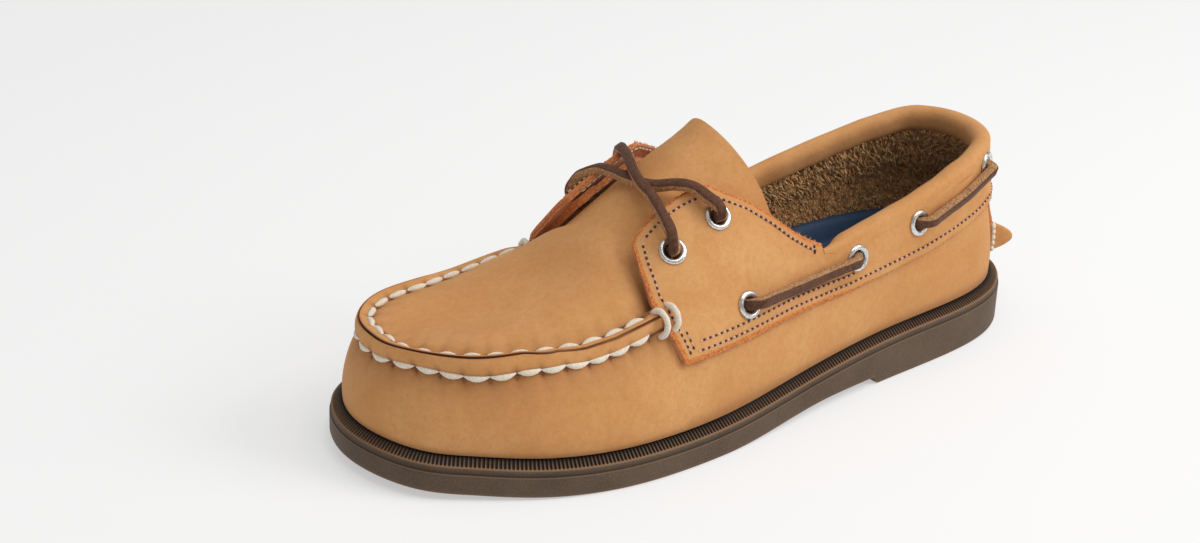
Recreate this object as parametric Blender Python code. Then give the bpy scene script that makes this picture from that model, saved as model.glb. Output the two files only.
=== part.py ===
"""A moccasin boat shoe for the left foot, toe towards -X, outer side towards -Y, standing on its sole.

Every leather piece is cut from one curved form, the last. Its sections are cubic curves that rise from
the feather line, where the upper meets the sole, to a crown line over the foot.
"""
import math
from typing import NamedTuple

import bmesh
import bpy
import numpy as np
from mathutils import Matrix

# Overall sizes, in metres.
OUTSOLE_LENGTH = 0.290
BALL_WIDTH = 0.110
WAIST_WIDTH = 0.082
HEEL_WIDTH = 0.072
TOE_HEIGHT = 0.043
INSTEP_HEIGHT = 0.0835
TONGUE_HEIGHT = 0.101
QUARTER_HEIGHT = 0.060
BACK_HEIGHT = 0.080

# Sole.
FOREFOOT_THICKNESS = 0.0100
HEEL_THICKNESS = 0.0168
TOE_SPRING = 0.0035
ARCH_LIFT = 0.0030
WELT_WIDTH = 0.0045
WELT_RISE = 0.0022
STEP_BELOW_RIM = 0.0026
STEP_DEPTH = 0.0005
EDGE_ROUND = 0.0010
RIB_COUNT = 92
RIB_DEPTH = 0.0008

# Leather.
LEATHER = 0.0020
GAP = 0.0003
BELLY = 0.0030
SEAM_WIDTH = 0.0068
SEAM_HEIGHT = 0.0023
COLLAR_HEIGHT = 0.0032
COLLAR_DROP = 0.0058
COLLAR_THICKNESS = 0.0074
UNDERLAP = 0.0016
STAY_WIDTH = 0.0100
STAY_THICKNESS = 0.0026
STAY_CLEAR = 0.0008
FIN_LENGTH = 0.0125
FIN_THICKNESS = 0.0034
FIN_HEIGHT = 0.0135
FIN_LEAN = 0.0060
INSOLE_THICKNESS = 0.0035
INSOLE_EASE = 0.0004
CUP_WALL = 0.0030
CUP_HEIGHT = 0.0120
TONGUE_CLEAR = 0.0016

# Eyelets and lace.
EYELET_OUTER = 0.0100
EYELET_BORE = 0.0056
EYELET_HEIGHT = 0.0012
BARREL_WALL = 0.0005
LACE_WIDTH = 0.0036


class Section(NamedTuple):
    """One cut across the last; widths are shares of `width`, heights shares of `height`."""

    along: float         # share of the length, from the heel, of the foot of the section
    width: float         # the named width that this part of the shoe follows
    lateral: float       # outsole's edge on the outer side
    medial: float        # outsole's edge on the inner side
    crown_along: float   # the crown point, over the foot of the section
    crown_lateral: float
    crown_medial: float
    height: float        # the named height that the crown follows
    crown: float
    belly: float         # outward swell of the lower wall, share of BELLY
    roll: float          # how far the top of the curve is drawn out over the wall
    drop: float          # how far the top of the curve falls before it turns down


SECTIONS = (
    Section(0.000, HEEL_WIDTH, 0.000, 0.000, 0.0720, 0.000, 0.000, BACK_HEIGHT, 1.000, 0.9, 0.00, 0.34),
    Section(0.025, HEEL_WIDTH, 0.212, 0.232, 0.0765, 0.135, 0.135, BACK_HEIGHT, 0.997, 0.4, 0.00, 0.34),
    Section(0.080, HEEL_WIDTH, 0.386, 0.410, 0.1020, 0.282, 0.282, BACK_HEIGHT, 0.985, 0.5, 0.00, 0.34),
    Section(0.170, HEEL_WIDTH, 0.490, 0.495, 0.1680, 0.380, 0.385, BACK_HEIGHT, 0.925, 0.9, 0.05, 0.34),
    Section(0.300, WAIST_WIDTH, 0.485, 0.439, 0.3000, 0.390, 0.384, INSTEP_HEIGHT, 0.860, 0.7, 0.15, 0.32),
    Section(0.450, WAIST_WIDTH, 0.563, 0.439, 0.4500, 0.345, 0.330, INSTEP_HEIGHT, 0.950, 0.6, 0.30, 0.26),
    Section(0.580, BALL_WIDTH, 0.484, 0.391, 0.5800, 0.164, 0.164, INSTEP_HEIGHT, 1.000, 0.7, 0.42, 0.16),
    Section(0.680, BALL_WIDTH, 0.507, 0.455, 0.6800, 0.182, 0.182, INSTEP_HEIGHT, 0.784, 0.9, 0.50, 0.10),
    Section(0.760, BALL_WIDTH, 0.495, 0.488, 0.7600, 0.300, 0.292, TOE_HEIGHT, 1.130, 0.9, 0.50, 0.10),
    Section(0.850, BALL_WIDTH, 0.425, 0.475, 0.8440, 0.292, 0.312, TOE_HEIGHT, 1.040, 0.8, 0.50, 0.10),
    Section(0.920, BALL_WIDTH, 0.315, 0.420, 0.9030, 0.210, 0.288, TOE_HEIGHT, 1.014, 0.6, 0.50, 0.12),
    Section(0.970, BALL_WIDTH, 0.205, 0.300, 0.9420, 0.078, 0.205, TOE_HEIGHT, 1.002, 0.5, 0.50, 0.14),
    Section(1.000, BALL_WIDTH, -0.058, 0.058, 0.9560, -0.064, 0.064, TOE_HEIGHT, 1.000, 0.5, 0.50, 0.15),
)


class SeamPlace(NamedTuple):
    """The moccasin seam's distance from the middle line, shares of BALL_WIDTH."""

    along: float
    lateral: float
    medial: float


# In front of the last row the seam is the crown line itself.
SEAM_SIDE = (
    SeamPlace(0.660, 0.352, 0.338), SeamPlace(0.700, 0.352, 0.340), SeamPlace(0.740, 0.350, 0.339),
    SeamPlace(0.780, 0.341, 0.336), SeamPlace(0.815, 0.323, 0.330),
)


class Edge(NamedTuple):
    """A point of a cut edge in side view."""

    along: float
    height: float        # height above the floor, share of the named height of its table


# The eyestay's back edge, then the collar, as shares of QUARTER_HEIGHT.
TOP_EDGE = (
    Edge(0.000, 1.333), Edge(0.085, 1.317), Edge(0.145, 1.262), Edge(0.210, 1.185), Edge(0.280, 1.108),
    Edge(0.350, 1.042), Edge(0.396, 1.003), Edge(0.424, 1.008), Edge(0.445, 1.058), Edge(0.469, 1.133),
    Edge(0.493, 1.228), Edge(0.524, 1.325), Edge(0.560, 1.400),
)
# The lower edge of the eyestay and of the band behind it.
LOW_EDGE = (
    Edge(0.000, 0.900), Edge(0.085, 0.875), Edge(0.145, 0.825), Edge(0.240, 0.745), Edge(0.380, 0.670),
    Edge(0.480, 0.650), Edge(0.560, 0.617), Edge(0.680, 0.585),
)


class TonguePlace(NamedTuple):
    """A cross cut of the tongue, from its middle to its edge inside the wall."""

    middle_along: float
    height: float         # the named height that its middle follows
    middle: float         # share of that height
    edge_along: float
    edge_up: float        # place up the section of the last, 0 where it lies beside the seam
    free_up: float        # place up the section where it leaves the wall
    sunk: float           # depth of the edge under the wall's outer face, share of the full depth


TONGUE = (
    TonguePlace(0.693, INSTEP_HEIGHT, 0.808, 0.693, 0.00, 0.90, 0.50),
    TonguePlace(0.677, INSTEP_HEIGHT, 0.846, 0.677, 0.00, 0.97, 1.20),
    TonguePlace(0.666, INSTEP_HEIGHT, 0.870, 0.664, 0.65, 1.00, 1.20),
    TonguePlace(0.640, INSTEP_HEIGHT, 0.925, 0.635, 0.62, 1.00, 1.00),
    TonguePlace(0.605, INSTEP_HEIGHT, 1.010, 0.598, 0.62, 1.00, 1.00),
    TonguePlace(0.570, INSTEP_HEIGHT, 1.089, 0.556, 0.62, 1.00, 1.00),
    TonguePlace(0.543, TONGUE_HEIGHT, 0.950, 0.515, 0.62, 0.90, 1.00),
    TonguePlace(0.522, TONGUE_HEIGHT, 1.000, 0.477, 0.62, 0.80, 1.00),
)


class PlugHeight(NamedTuple):
    """The plug's middle line, as shares of TOE_HEIGHT."""

    along: float
    height: float


PLUG_MIDDLE = (
    PlugHeight(0.670, 1.640), PlugHeight(0.714, 1.440), PlugHeight(0.759, 1.280), PlugHeight(0.810, 1.175),
    PlugHeight(0.862, 1.105), PlugHeight(0.914, 1.055), PlugHeight(0.955, 1.022), PlugHeight(0.970, 1.005),
)


class EyeletPlace(NamedTuple):
    """An eyelet's place."""

    name: str
    along: float
    measure: float        # the named height that its centre follows
    height: float         # share of that height


EYELETS = (
    EyeletPlace("front_low", 0.633, INSTEP_HEIGHT, 0.808),
    EyeletPlace("front_high", 0.565, INSTEP_HEIGHT, 0.905),
    EyeletPlace("side_1", 0.552, QUARTER_HEIGHT, 0.800),
    EyeletPlace("side_2", 0.364, QUARTER_HEIGHT, 0.863),
    EyeletPlace("side_3", 0.256, QUARTER_HEIGHT, 0.960),
    EyeletPlace("side_4", 0.098, QUARTER_HEIGHT, 1.155),
)


class LacePoint(NamedTuple):
    """A point of a lace over the tongue."""

    along: float
    across: float         # share of BALL_WIDTH
    height: float         # share of INSTEP_HEIGHT


# From the outer lower eyelet to the inner upper one.
OVER_STRAND = (
    LacePoint(0.638, -0.256, 0.9144), LacePoint(0.635, -0.199, 0.9592), LacePoint(0.630, -0.132, 0.9967),
    LacePoint(0.629, -0.068, 1.0257), LacePoint(0.623, -0.014, 1.0451), LacePoint(0.609, 0.059, 1.0572),
    LacePoint(0.595, 0.132, 1.0535), LacePoint(0.586, 0.182, 1.0427), LacePoint(0.576, 0.228, 1.0136),
)
# From the outer upper eyelet to the inner lower one.
UNDER_STRAND = (
    LacePoint(0.572, -0.270, 0.9786), LacePoint(0.579, -0.238, 1.0076), LacePoint(0.588, -0.200, 1.0378),
    LacePoint(0.600, -0.1445, 1.0354), LacePoint(0.613, -0.097, 1.0167), LacePoint(0.6205, -0.045, 1.0094),
    LacePoint(0.625, 0.050, 1.0064), LacePoint(0.6265, 0.096, 1.0052), LacePoint(0.6275, 0.148, 0.9943),
    LacePoint(0.630, 0.1845, 0.9725), LacePoint(0.634, 0.2340, 0.9302),
)

# Places along the shoe, shares of the length from the heel.
FRONT_EDGE = 0.672       # the eyestay's front edge
WALL_NOTCH = 0.669       # where the wall's top edge leaves the seam, under the eyestay
WALL_SLANT = 0.648       # where that edge reaches the throat's edge
THROAT_BACK = 0.560      # the eyestay's upper corner
COLLAR_FRONT = 0.420     # where the rolled collar begins
COLLAR_START = 0.004     # how far behind its notch the collar ends
SEAM_START = FRONT_EDGE + 0.003
SEAM_JOIN = (0.79, 0.86)  # where the seam comes up to the crown line
BREAST = (0.315, 0.325)  # the heel block's front face
ARCH_END = (0.40, 0.60)  # where the arch comes down to the tread
SPRING_START = 0.74      # where the toe spring begins
THINNING = (0.22, 0.66)  # where the sole thins from heel to forefoot
CUP_END = (0.35, 0.72)   # where the insole's cup runs out

# Pulls of the cubic curves, as shares of their spans.
LOWER_PULL = 0.36
EDGE_PULL = 0.30
CREST_PULL = 0.52
ONTO_CROWN = 1.05        # how far past the crown line an edge may be looked for


class BeadPoint(NamedTuple):
    """A point of the moccasin seam's cross cut, from the vamp's side to the plug's."""

    across: float        # share of half SEAM_WIDTH
    lift: float          # share of SEAM_HEIGHT


BEAD = (BeadPoint(-1.00, 0.20), BeadPoint(-0.45, 1.00), BeadPoint(0.45, 1.00), BeadPoint(1.00, 0.20))


class RollPoint(NamedTuple):
    """A point of the collar's cross cut, from its outer face over the edge and down inside."""

    rise: float          # share of COLLAR_HEIGHT over the edge, or of COLLAR_DROP under it
    depth: float         # share of COLLAR_THICKNESS, from the outer face


ROLL = (
    RollPoint(0.60, 0.012), RollPoint(1.00, 0.500), RollPoint(0.55, 0.862), RollPoint(-0.30, 1.000),
    RollPoint(-1.00, 0.828),
)


class FinCut(NamedTuple):
    """A level cut of the heel fin."""

    level: float         # share of FIN_HEIGHT
    reach: float         # share of FIN_LENGTH


FIN = (
    FinCut(0.00, 0.43), FinCut(0.17, 0.83), FinCut(0.33, 0.99), FinCut(0.50, 0.97), FinCut(0.67, 0.80),
    FinCut(0.83, 0.52), FinCut(1.00, 0.19),
)
FIN_SHOULDER = 0.75      # share of the reach at which the fin begins to thin
FIN_FULLNESS = 0.80      # its thickness there, share of FIN_THICKNESS


class CupPoint(NamedTuple):
    """A point of the insole's cross cut, from its rim inwards."""

    walls: float         # distance from the rim, in thicknesses of the cup's wall
    depth: float         # share of the cup's depth


CUP = (CupPoint(0.0, 0.00), CupPoint(1.0, 0.10), CupPoint(2.6, 0.85))
CUP_SHARE = 0.80         # depth of the cup's floor, share of CUP_HEIGHT
CUP_NARROW = 0.15        # the cup's wall is at most this share of the insole's width
INSOLE_UNDER = (0.0, 0.1, 0.25, 0.5, 0.75, 0.9, 1.0)  # the places of the underside's points across it
INSOLE_ENDS = 0.03       # how far its end cuts stay from the heel and the toe, share of the way round

EYELET_CREST = 0.15      # where an eyelet's flange is highest, share of the way from bore to rim
LACE_RISE = 0.60         # how far the lace stands straight out of an eyelet, share of its width
LACE_TURN = (0.1, 0.9)   # where a strand turns from one eyelet's face to the other's

# Fineness of the faceted forms.
FINE_STEPS = 2401
HALVINGS = 40
TINY = 1e-4
HAIR = 2e-4              # share of the whole turn between the two stations at a corner of an edge
FRONT_STEPS = 18         # stations from the seam's end to the toe
COLLAR_STEPS = 12
QUARTER_STEPS = 5
THROAT_STEPS = 4
SLANT_STEPS = 4
WALL_ROWS = 8
BAND_ROWS = 6
STAY_COLUMNS = 5
STAY_ROWS = 8
STAY_SPREAD = 1.4        # the band's second station is this much further from the back seam than its end
STAY_LEVEL = 0.8         # height up the last at which the stay's width is measured
STAY_SEARCH = 0.06       # how far along the shoe that width may reach
ROLL_STEPS = 16
INSOLE_CUTS = 24
CIRCLE_SIDES = 10
RUN_STEPS = 8
TOE_STEPS = 2            # the plug's front edge reaches this many stations each way from the toe
PLUG_STEPS = (3, 4, 6, 8, 10, 12, 14)  # the plug's cross cuts, counted in stations from the toe
TUCKED_STEPS = 3         # of a tongue cut's points, the steps inside the wall
CUT_STEPS = 7            # points from the edge to the middle of a cross cut


def spline_second(knots, values):
    """Second derivatives of the closed cubic spline through values, whose last row repeats the first."""
    count = len(knots) - 1
    step = np.diff(knots)
    matrix = np.zeros((count, count))
    right = np.zeros((count, values.shape[1]))
    slope = np.diff(values, axis=0) / step[:, None]
    for i in range(count):
        before = step[i - 1]
        after = step[i]
        matrix[i, i - 1] += before
        matrix[i, i] += 2.0 * (before + after)
        matrix[i, (i + 1) % count] += after
        right[i] = 6.0 * (slope[i] - slope[i - 1])
    second = np.linalg.solve(matrix, right)
    return np.vstack([second, second[:1]])


def spline_at(knots, values, second, query):
    """The closed spline's values at the queries."""
    query = np.mod(query, knots[-1])
    i = np.clip(np.searchsorted(knots, query, side="right") - 1, 0, len(knots) - 2)
    step = knots[i + 1] - knots[i]
    a = ((knots[i + 1] - query) / step)[..., None]
    b = 1.0 - a
    bend = (a ** 3 - a) * second[i] + (b ** 3 - b) * second[i + 1]
    return a * values[i] + b * values[i + 1] + bend * (step[..., None] ** 2) / 6.0


def along_x(along):
    """The X of a share of the length, counted from the heel."""
    return OUTSOLE_LENGTH * (0.5 - along)


def smooth(value, low, high):
    """A soft ramp from 0 at low to 1 at high."""
    t = np.clip((value - low) / (high - low), 0.0, 1.0)
    return t * t * (3.0 - 2.0 * t)


def toe_lift(along):
    """How far the toe spring lifts the sole."""
    return TOE_SPRING * np.clip((along - SPRING_START) / (1.0 - SPRING_START), 0.0, 1.0) ** 2


def sole_bottom(along):
    """Height of the sole's underside: heel block, breast, arch, tread and toe spring."""
    return ARCH_LIFT * smooth(along, *BREAST) * (1.0 - smooth(along, *ARCH_END)) + toe_lift(along)


def sole_rim(along):
    """Height of the sole's upper rim."""
    thinner = (HEEL_THICKNESS - FOREFOOT_THICKNESS) * smooth(along, *THINNING)
    return HEEL_THICKNESS - thinner + toe_lift(along)


def seat(along):
    """Height of the sole's inner top, on which the upper and the insole stand."""
    return sole_rim(along) + WELT_RISE


def both_sides(rows):
    """Stations once round the shoe: heel, outer side, toe, inner side, heel again."""
    outer = [(row, -1.0) for row in rows]
    inner = [(row, 1.0) for row in rows[-2:0:-1]]
    return outer + inner + [(rows[0], -1.0)]


STATIONS = both_sides(SECTIONS)


def edge_points():
    """The outsole's outline at the stations."""
    points = []
    for row, side in STATIONS:
        share = row.lateral if side < 0 else row.medial
        points.append((along_x(row.along), side * share * row.width))
    return np.array(points)


OUTLINE = edge_points()
KNOTS = np.concatenate([[0.0], np.cumsum(np.linalg.norm(np.diff(OUTLINE, axis=0), axis=1) ** 0.5)])
OUTLINE_BEND = spline_second(KNOTS, OUTLINE)
TURN = KNOTS[-1]


def outline(u, inset=0.0):
    """The outsole's outline at u, moved in by inset."""
    u = np.asarray(u, dtype=float)
    step = TURN * TINY
    places = (u - step, u, u + step)
    before, point, after = [spline_at(KNOTS, OUTLINE, OUTLINE_BEND, place) for place in places]
    run = after - before
    run = run / np.linalg.norm(run, axis=-1, keepdims=True)
    outward = np.stack([-run[..., 1], run[..., 0]], axis=-1)
    return point - inset * outward


def control_points():
    """The four control points of each station's section, in one row."""
    feet = outline(KNOTS, WELT_WIDTH)
    rows = []
    for (row, side), foot in zip(STATIONS, feet):
        low = seat(row.along) + GAP
        share = row.crown_lateral if side < 0 else row.crown_medial
        crown = np.array([along_x(row.crown_along), side * share * row.width, row.crown * row.height])
        start = np.array([foot[0], foot[1], low])
        out = start - crown
        out[2] = 0.0
        reach = np.linalg.norm(out)
        rise = crown[2] - low
        away = out / reach
        first = start + away * row.belly * BELLY + np.array([0.0, 0.0, LOWER_PULL * rise])
        last = crown + away * row.roll * reach - np.array([0.0, 0.0, row.drop * rise])
        rows.append(np.concatenate([start, first, last, crown]))
    return np.array(rows)


CONTROL = control_points()
CONTROL_BEND = spline_second(KNOTS, CONTROL)


def last_point(u, w):
    """A point on the last: u runs round the shoe, w from the feather line (0) to the crown (1)."""
    u, w = np.broadcast_arrays(np.asarray(u, dtype=float), np.asarray(w, dtype=float))
    c = spline_at(KNOTS, CONTROL, CONTROL_BEND, u)
    w = w[..., None]
    v = 1.0 - w
    a, b, d, e = c[..., 0:3], c[..., 3:6], c[..., 6:9], c[..., 9:12]
    return v ** 3 * a + 3.0 * v * v * w * b + 3.0 * v * w * w * d + w ** 3 * e


def last_frame(u, w):
    """Point, outward normal and upward direction on the last."""
    point = last_point(u, w)
    run = last_point(u + TINY * TURN, w) - last_point(u - TINY * TURN, w)
    up = last_point(u, w + TINY) - last_point(u, w - TINY)
    up = up / np.linalg.norm(up, axis=-1, keepdims=True)
    normal = np.cross(up, run)
    normal = normal / np.linalg.norm(normal, axis=-1, keepdims=True)
    return point, normal, up


def lifted(u, w, lift):
    """A point at a height over the last's surface."""
    point, normal, _ = last_frame(u, w)
    return point + normal * np.asarray(lift)[..., None]


FINE = np.linspace(0.0, TURN, FINE_STEPS)
FINE_X = outline(FINE)[:, 0]
TOE_INDEX = int(np.argmin(FINE_X))


def station(along, side):
    """The u of a share of the length, on the outer (-1) or inner (+1) side."""
    x = along_x(np.asarray(along, dtype=float))
    if side < 0:
        return np.interp(-x, -FINE_X[: TOE_INDEX + 1], FINE[: TOE_INDEX + 1])
    return np.interp(x, FINE_X[TOE_INDEX:], FINE[TOE_INDEX:])


def along_of(u):
    """The share of the length at u."""
    return 0.5 - outline(u)[..., 0] / OUTSOLE_LENGTH


def up_at_height(u, height):
    """The w at which the section at u reaches a height."""
    u = np.asarray(u, dtype=float)
    low = np.zeros_like(u)
    high = np.ones_like(u) * ONTO_CROWN
    for _ in range(HALVINGS):
        middle = (low + high) / 2.0
        under = last_point(u, middle)[..., 2] < height
        low = np.where(under, middle, low)
        high = np.where(under, high, middle)
    return (low + high) / 2.0


def from_table(table, along, measure):
    """A table's heights at shares of the length."""
    keys = np.array([row.along for row in table])
    values = np.array([row.height for row in table])
    return np.interp(along, keys, values) * measure


def step_up(u, w, distance):
    """The change of w that a distance along the surface makes."""
    length = np.linalg.norm(last_point(u, w + TINY) - last_point(u, w - TINY), axis=-1) / (2.0 * TINY)
    return distance / length


def seam_up(u):
    """The moccasin seam's place up the last."""
    u = np.asarray(u, dtype=float)
    along = along_of(u)
    keys = [row.along for row in SEAM_SIDE]
    lateral = np.interp(along, keys, [row.lateral for row in SEAM_SIDE])
    medial = np.interp(along, keys, [row.medial for row in SEAM_SIDE])
    half = np.where(u < FINE[TOE_INDEX], lateral, medial) * BALL_WIDTH
    low = np.zeros_like(u)
    high = np.ones_like(u)
    for _ in range(HALVINGS):
        middle = (low + high) / 2.0
        wide = np.abs(last_point(u, middle)[..., 1]) > half
        low = np.where(wide, middle, low)
        high = np.where(wide, high, middle)
    blend = smooth(along, *SEAM_JOIN)
    return (low + high) / 2.0 * (1.0 - blend) + blend


def trimmed_up(u):
    """The upper edge of the eyestay and band, up the last."""
    along = along_of(u)
    edge = up_at_height(u, from_table(TOP_EDGE, along, QUARTER_HEIGHT))
    edge = np.where(along > THROAT_BACK, 1.0, np.minimum(edge, 1.0))
    collar = edge - step_up(u, edge, COLLAR_HEIGHT)
    return np.where(along < COLLAR_FRONT, collar, edge)


def wall_up(u):
    """The upper edge of the wall, under its overlays, up the last."""
    along = along_of(u)
    seam = seam_up(u)
    front = seam - step_up(u, seam, SEAM_WIDTH / 2.0 + GAP)
    trim = trimmed_up(u)
    tucked = np.where(along < COLLAR_FRONT, trim, trim - step_up(u, trim, UNDERLAP))
    slant = np.clip((along - WALL_SLANT) / (WALL_NOTCH - WALL_SLANT), 0.0, 1.0)
    return tucked * (1.0 - slant) + front * slant


def material(name, color, roughness, metallic=0.0):
    """A plain finish."""
    finish = bpy.data.materials.new(name)
    finish.use_nodes = True
    shader = finish.node_tree.nodes["Principled BSDF"]
    shader.inputs["Base Color"].default_value = (*color, 1.0)
    shader.inputs["Roughness"].default_value = roughness
    shader.inputs["Metallic"].default_value = metallic
    return finish


def add_object(name, vertices, faces, finish, sharp=40.0):
    """An object of its own from points and faces."""
    mesh = bpy.data.meshes.new(name)
    mesh.from_pydata([tuple(v) for v in vertices], [], faces)
    edit = bmesh.new()
    edit.from_mesh(mesh)
    bmesh.ops.recalc_face_normals(edit, faces=edit.faces)
    if edit.calc_volume(signed=True) < 0.0:
        bmesh.ops.reverse_faces(edit, faces=edit.faces)
    edit.to_mesh(mesh)
    edit.free()
    mesh.materials.append(finish)
    mesh.shade_smooth()
    mesh.set_sharp_from_angle(angle=math.radians(sharp))
    made = bpy.data.objects.new(name, mesh)
    bpy.context.scene.collection.objects.link(made)
    return made


def shell(outer, inner, closed=False):
    """Vertices and faces of a wall between two grids of equal size, rims included."""
    rows, columns = outer.shape[:2]
    count = rows * columns
    vertices = np.concatenate([outer.reshape(-1, 3), inner.reshape(-1, 3)])
    faces = []
    last = rows if closed else rows - 1
    for i in range(last):
        j = (i + 1) % rows
        for k in range(columns - 1):
            quad = (i * columns + k, j * columns + k, j * columns + k + 1, i * columns + k + 1)
            faces.append(quad)
            faces.append(tuple(count + n for n in reversed(quad)))
        for k in (0, columns - 1):
            a = i * columns + k
            b = j * columns + k
            rim = (a, count + a, count + b, b)
            faces.append(rim if k == 0 else tuple(reversed(rim)))
    if not closed:
        for i in (0, rows - 1):
            for k in range(columns - 1):
                a = i * columns + k
                rim = (a, a + 1, count + a + 1, count + a)
                faces.append(rim if i == 0 else tuple(reversed(rim)))
    return vertices, faces


def tube(rings):
    """Vertices and faces of a closed bar through rings of points, with filled ends."""
    count, sides = rings.shape[:2]
    vertices = rings.reshape(-1, 3)
    faces = [tuple(reversed(range(sides))), tuple(range((count - 1) * sides, count * sides))]
    for i in range(count - 1):
        for k in range(sides):
            m = (k + 1) % sides
            faces.append((i * sides + k, i * sides + m, (i + 1) * sides + m, (i + 1) * sides + k))
    return vertices, faces


def patch(u, low, high, rows, under, over):
    """A leather piece on the last, between two edges and two heights over its surface."""
    share = np.linspace(0.0, 1.0, rows)
    w = low[:, None] + (high - low)[:, None] * share[None, :]
    place = np.broadcast_to(u[:, None], w.shape)
    return shell(lifted(place, w, np.full(w.shape, over)), lifted(place, w, np.full(w.shape, under)))


def spread(start, end, steps):
    """Stations from start to end, the end left out."""
    return np.linspace(start, end, steps, endpoint=False)


def front_stations(side):
    """The stations that wall, seam and plug share, from the seam's end to the toe."""
    return np.linspace(station(SEAM_START, side), FINE[TOE_INDEX], FRONT_STEPS)


def rear_stations(side):
    """The stations that wall and eyestay share, from the heel to where the wall's edge meets the seam."""
    heel = 0.0 if side < 0 else TURN
    stops = [heel] + [station(along, side) for along in (COLLAR_FRONT, THROAT_BACK, WALL_SLANT, WALL_NOTCH)]
    hair = -TURN * HAIR * side
    collar = np.append(spread(stops[0], stops[1], COLLAR_STEPS), stops[1] - hair)
    quarter = np.append(spread(stops[1] + hair, stops[2], QUARTER_STEPS), stops[2] - hair)
    throat = spread(stops[2] + hair, stops[3], THROAT_STEPS)
    return np.concatenate([collar, quarter, throat, np.linspace(stops[3], stops[4], SLANT_STEPS)])


def wall_stations(side):
    """The wall's columns on one side, from the heel to the toe, with one at each corner of its edge."""
    return np.concatenate([rear_stations(side), front_stations(side)])


def build_upper(finish):
    """The hollow upper: one wall from the feather line to the seam, throat and collar."""
    outer = wall_stations(-1)
    inner = wall_stations(1)[::-1][1:-1]
    u = np.concatenate([outer, inner])
    top = wall_up(u)
    share = np.linspace(0.0, 1.0, WALL_ROWS)
    w = top[:, None] * share[None, :]
    place = np.broadcast_to(u[:, None], w.shape)
    skin = last_point(place, w)
    lining = lifted(place, w, np.full(w.shape, -LEATHER))
    lining[:, 0, 2] = skin[:, 0, 2]
    vertices, faces = shell(skin, lining, closed=True)
    return add_object("upper", vertices, faces, finish)


def build_outsole(finish):
    """The unit sole with its rim step, ribbed ledge, arch, heel block and toe spring."""
    length = np.concatenate([[0.0], np.cumsum(np.linalg.norm(np.diff(outline(FINE), axis=0), axis=1))])
    columns = 2 * RIB_COUNT
    outer = np.interp(np.linspace(0.0, length[TOE_INDEX], RIB_COUNT + 1), length, FINE)
    inner = np.interp(np.linspace(length[TOE_INDEX], length[-1], RIB_COUNT + 1), length, FINE)
    u = np.concatenate([outer, inner[1:-1]])
    index = np.arange(columns)
    mate = (columns - index) % columns
    along = np.clip((along_of(u) + along_of(u[mate])) / 2.0, 0.0, 1.0)
    dip = RIB_DEPTH * (index % 2)
    rim = sole_rim(along)
    levels = (
        (EDGE_ROUND, sole_bottom(along)),
        (0.0, rim - STEP_BELOW_RIM),
        (STEP_DEPTH, rim - STEP_BELOW_RIM + STEP_DEPTH),
        (STEP_DEPTH * 2.0, rim - dip),
        (WELT_WIDTH - GAP, seat(along)),
    )
    rings = [np.column_stack([outline(u, inset), height]) for inset, height in levels]
    vertices = np.concatenate(rings)
    faces = []
    for level in range(len(rings) - 1):
        for i in range(columns):
            j = (i + 1) % columns
            a = level * columns
            b = a + columns
            faces.append((a + i, a + j, b + j, b + i))
    top = (len(rings) - 1) * columns
    for base, turned in ((0, True), (top, False)):
        for i in range(RIB_COUNT):
            a, b = i, i + 1
            c, d = (columns - b) % columns, (columns - a) % columns
            quad = [base + n for n in (a, b, c, d)]
            ring = list(dict.fromkeys(quad))
            faces.append(tuple(reversed(ring)) if turned else tuple(ring))
    return add_object("outsole", vertices, faces, finish)


def seam_stations():
    """Stations of the moccasin seam, from its outer end round the toe to its inner end."""
    return np.concatenate([front_stations(-1), front_stations(1)[::-1][1:]])


def build_seam(finish):
    """The raised bead where vamp and plug are gathered together."""
    u = seam_stations()
    middle = seam_up(u)
    point, normal, up = last_frame(u, middle)
    half = SEAM_WIDTH / 2.0
    faces_up = [(row.across * half, row.lift * SEAM_HEIGHT) for row in BEAD]
    rings = []
    for across, lift in [(-half, -LEATHER), *faces_up, (half, -LEATHER)]:
        if across < 0.0:
            rings.append(lifted(u, middle + step_up(u, middle, across), np.full(len(u), lift)))
        else:
            rings.append(point + up * across + normal * lift)
    vertices, faces = tube(np.stack(rings, axis=1))
    return add_object("moc_seam", vertices, faces, finish, sharp=60.0)


def cross_curve(outer_edge, outer_way, middle, inner_way, inner_edge, steps):
    """Points of one cross cut, from edge to edge over its middle, as two cubic curves."""
    halves = []
    for edge, way in ((outer_edge, outer_way), (inner_edge, inner_way)):
        reach = abs(edge[1] - middle[1])
        rise = middle[2] - edge[2]
        first = edge + way * EDGE_PULL * math.hypot(reach, rise)
        second = middle + np.array([0.0, math.copysign(CREST_PULL * reach, edge[1] - middle[1]), 0.0])
        t = np.linspace(0.0, 1.0, steps)[:, None]
        v = 1.0 - t
        halves.append(v ** 3 * edge + 3 * v * v * t * first + 3 * v * t * t * second + t ** 3 * middle)
    return np.concatenate([halves[0], halves[1][::-1][1:]])


def front_cut():
    """The plug's front edge along the seam, and the way the leather faces there."""
    around = seam_stations()[FRONT_STEPS - 1 - TOE_STEPS: FRONT_STEPS + TOE_STEPS]
    point, normal, up = last_frame(around, seam_up(around))
    edge = point + up * (SEAM_WIDTH / 2.0 + GAP)
    share = np.linspace(0.0, len(edge) - 1.0, 2 * CUT_STEPS - 1)
    index = np.arange(len(edge))
    finer = [np.array([np.interp(share, index, row) for row in grid.T]).T for grid in (edge, normal)]
    return finer[0], finer[1]


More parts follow.
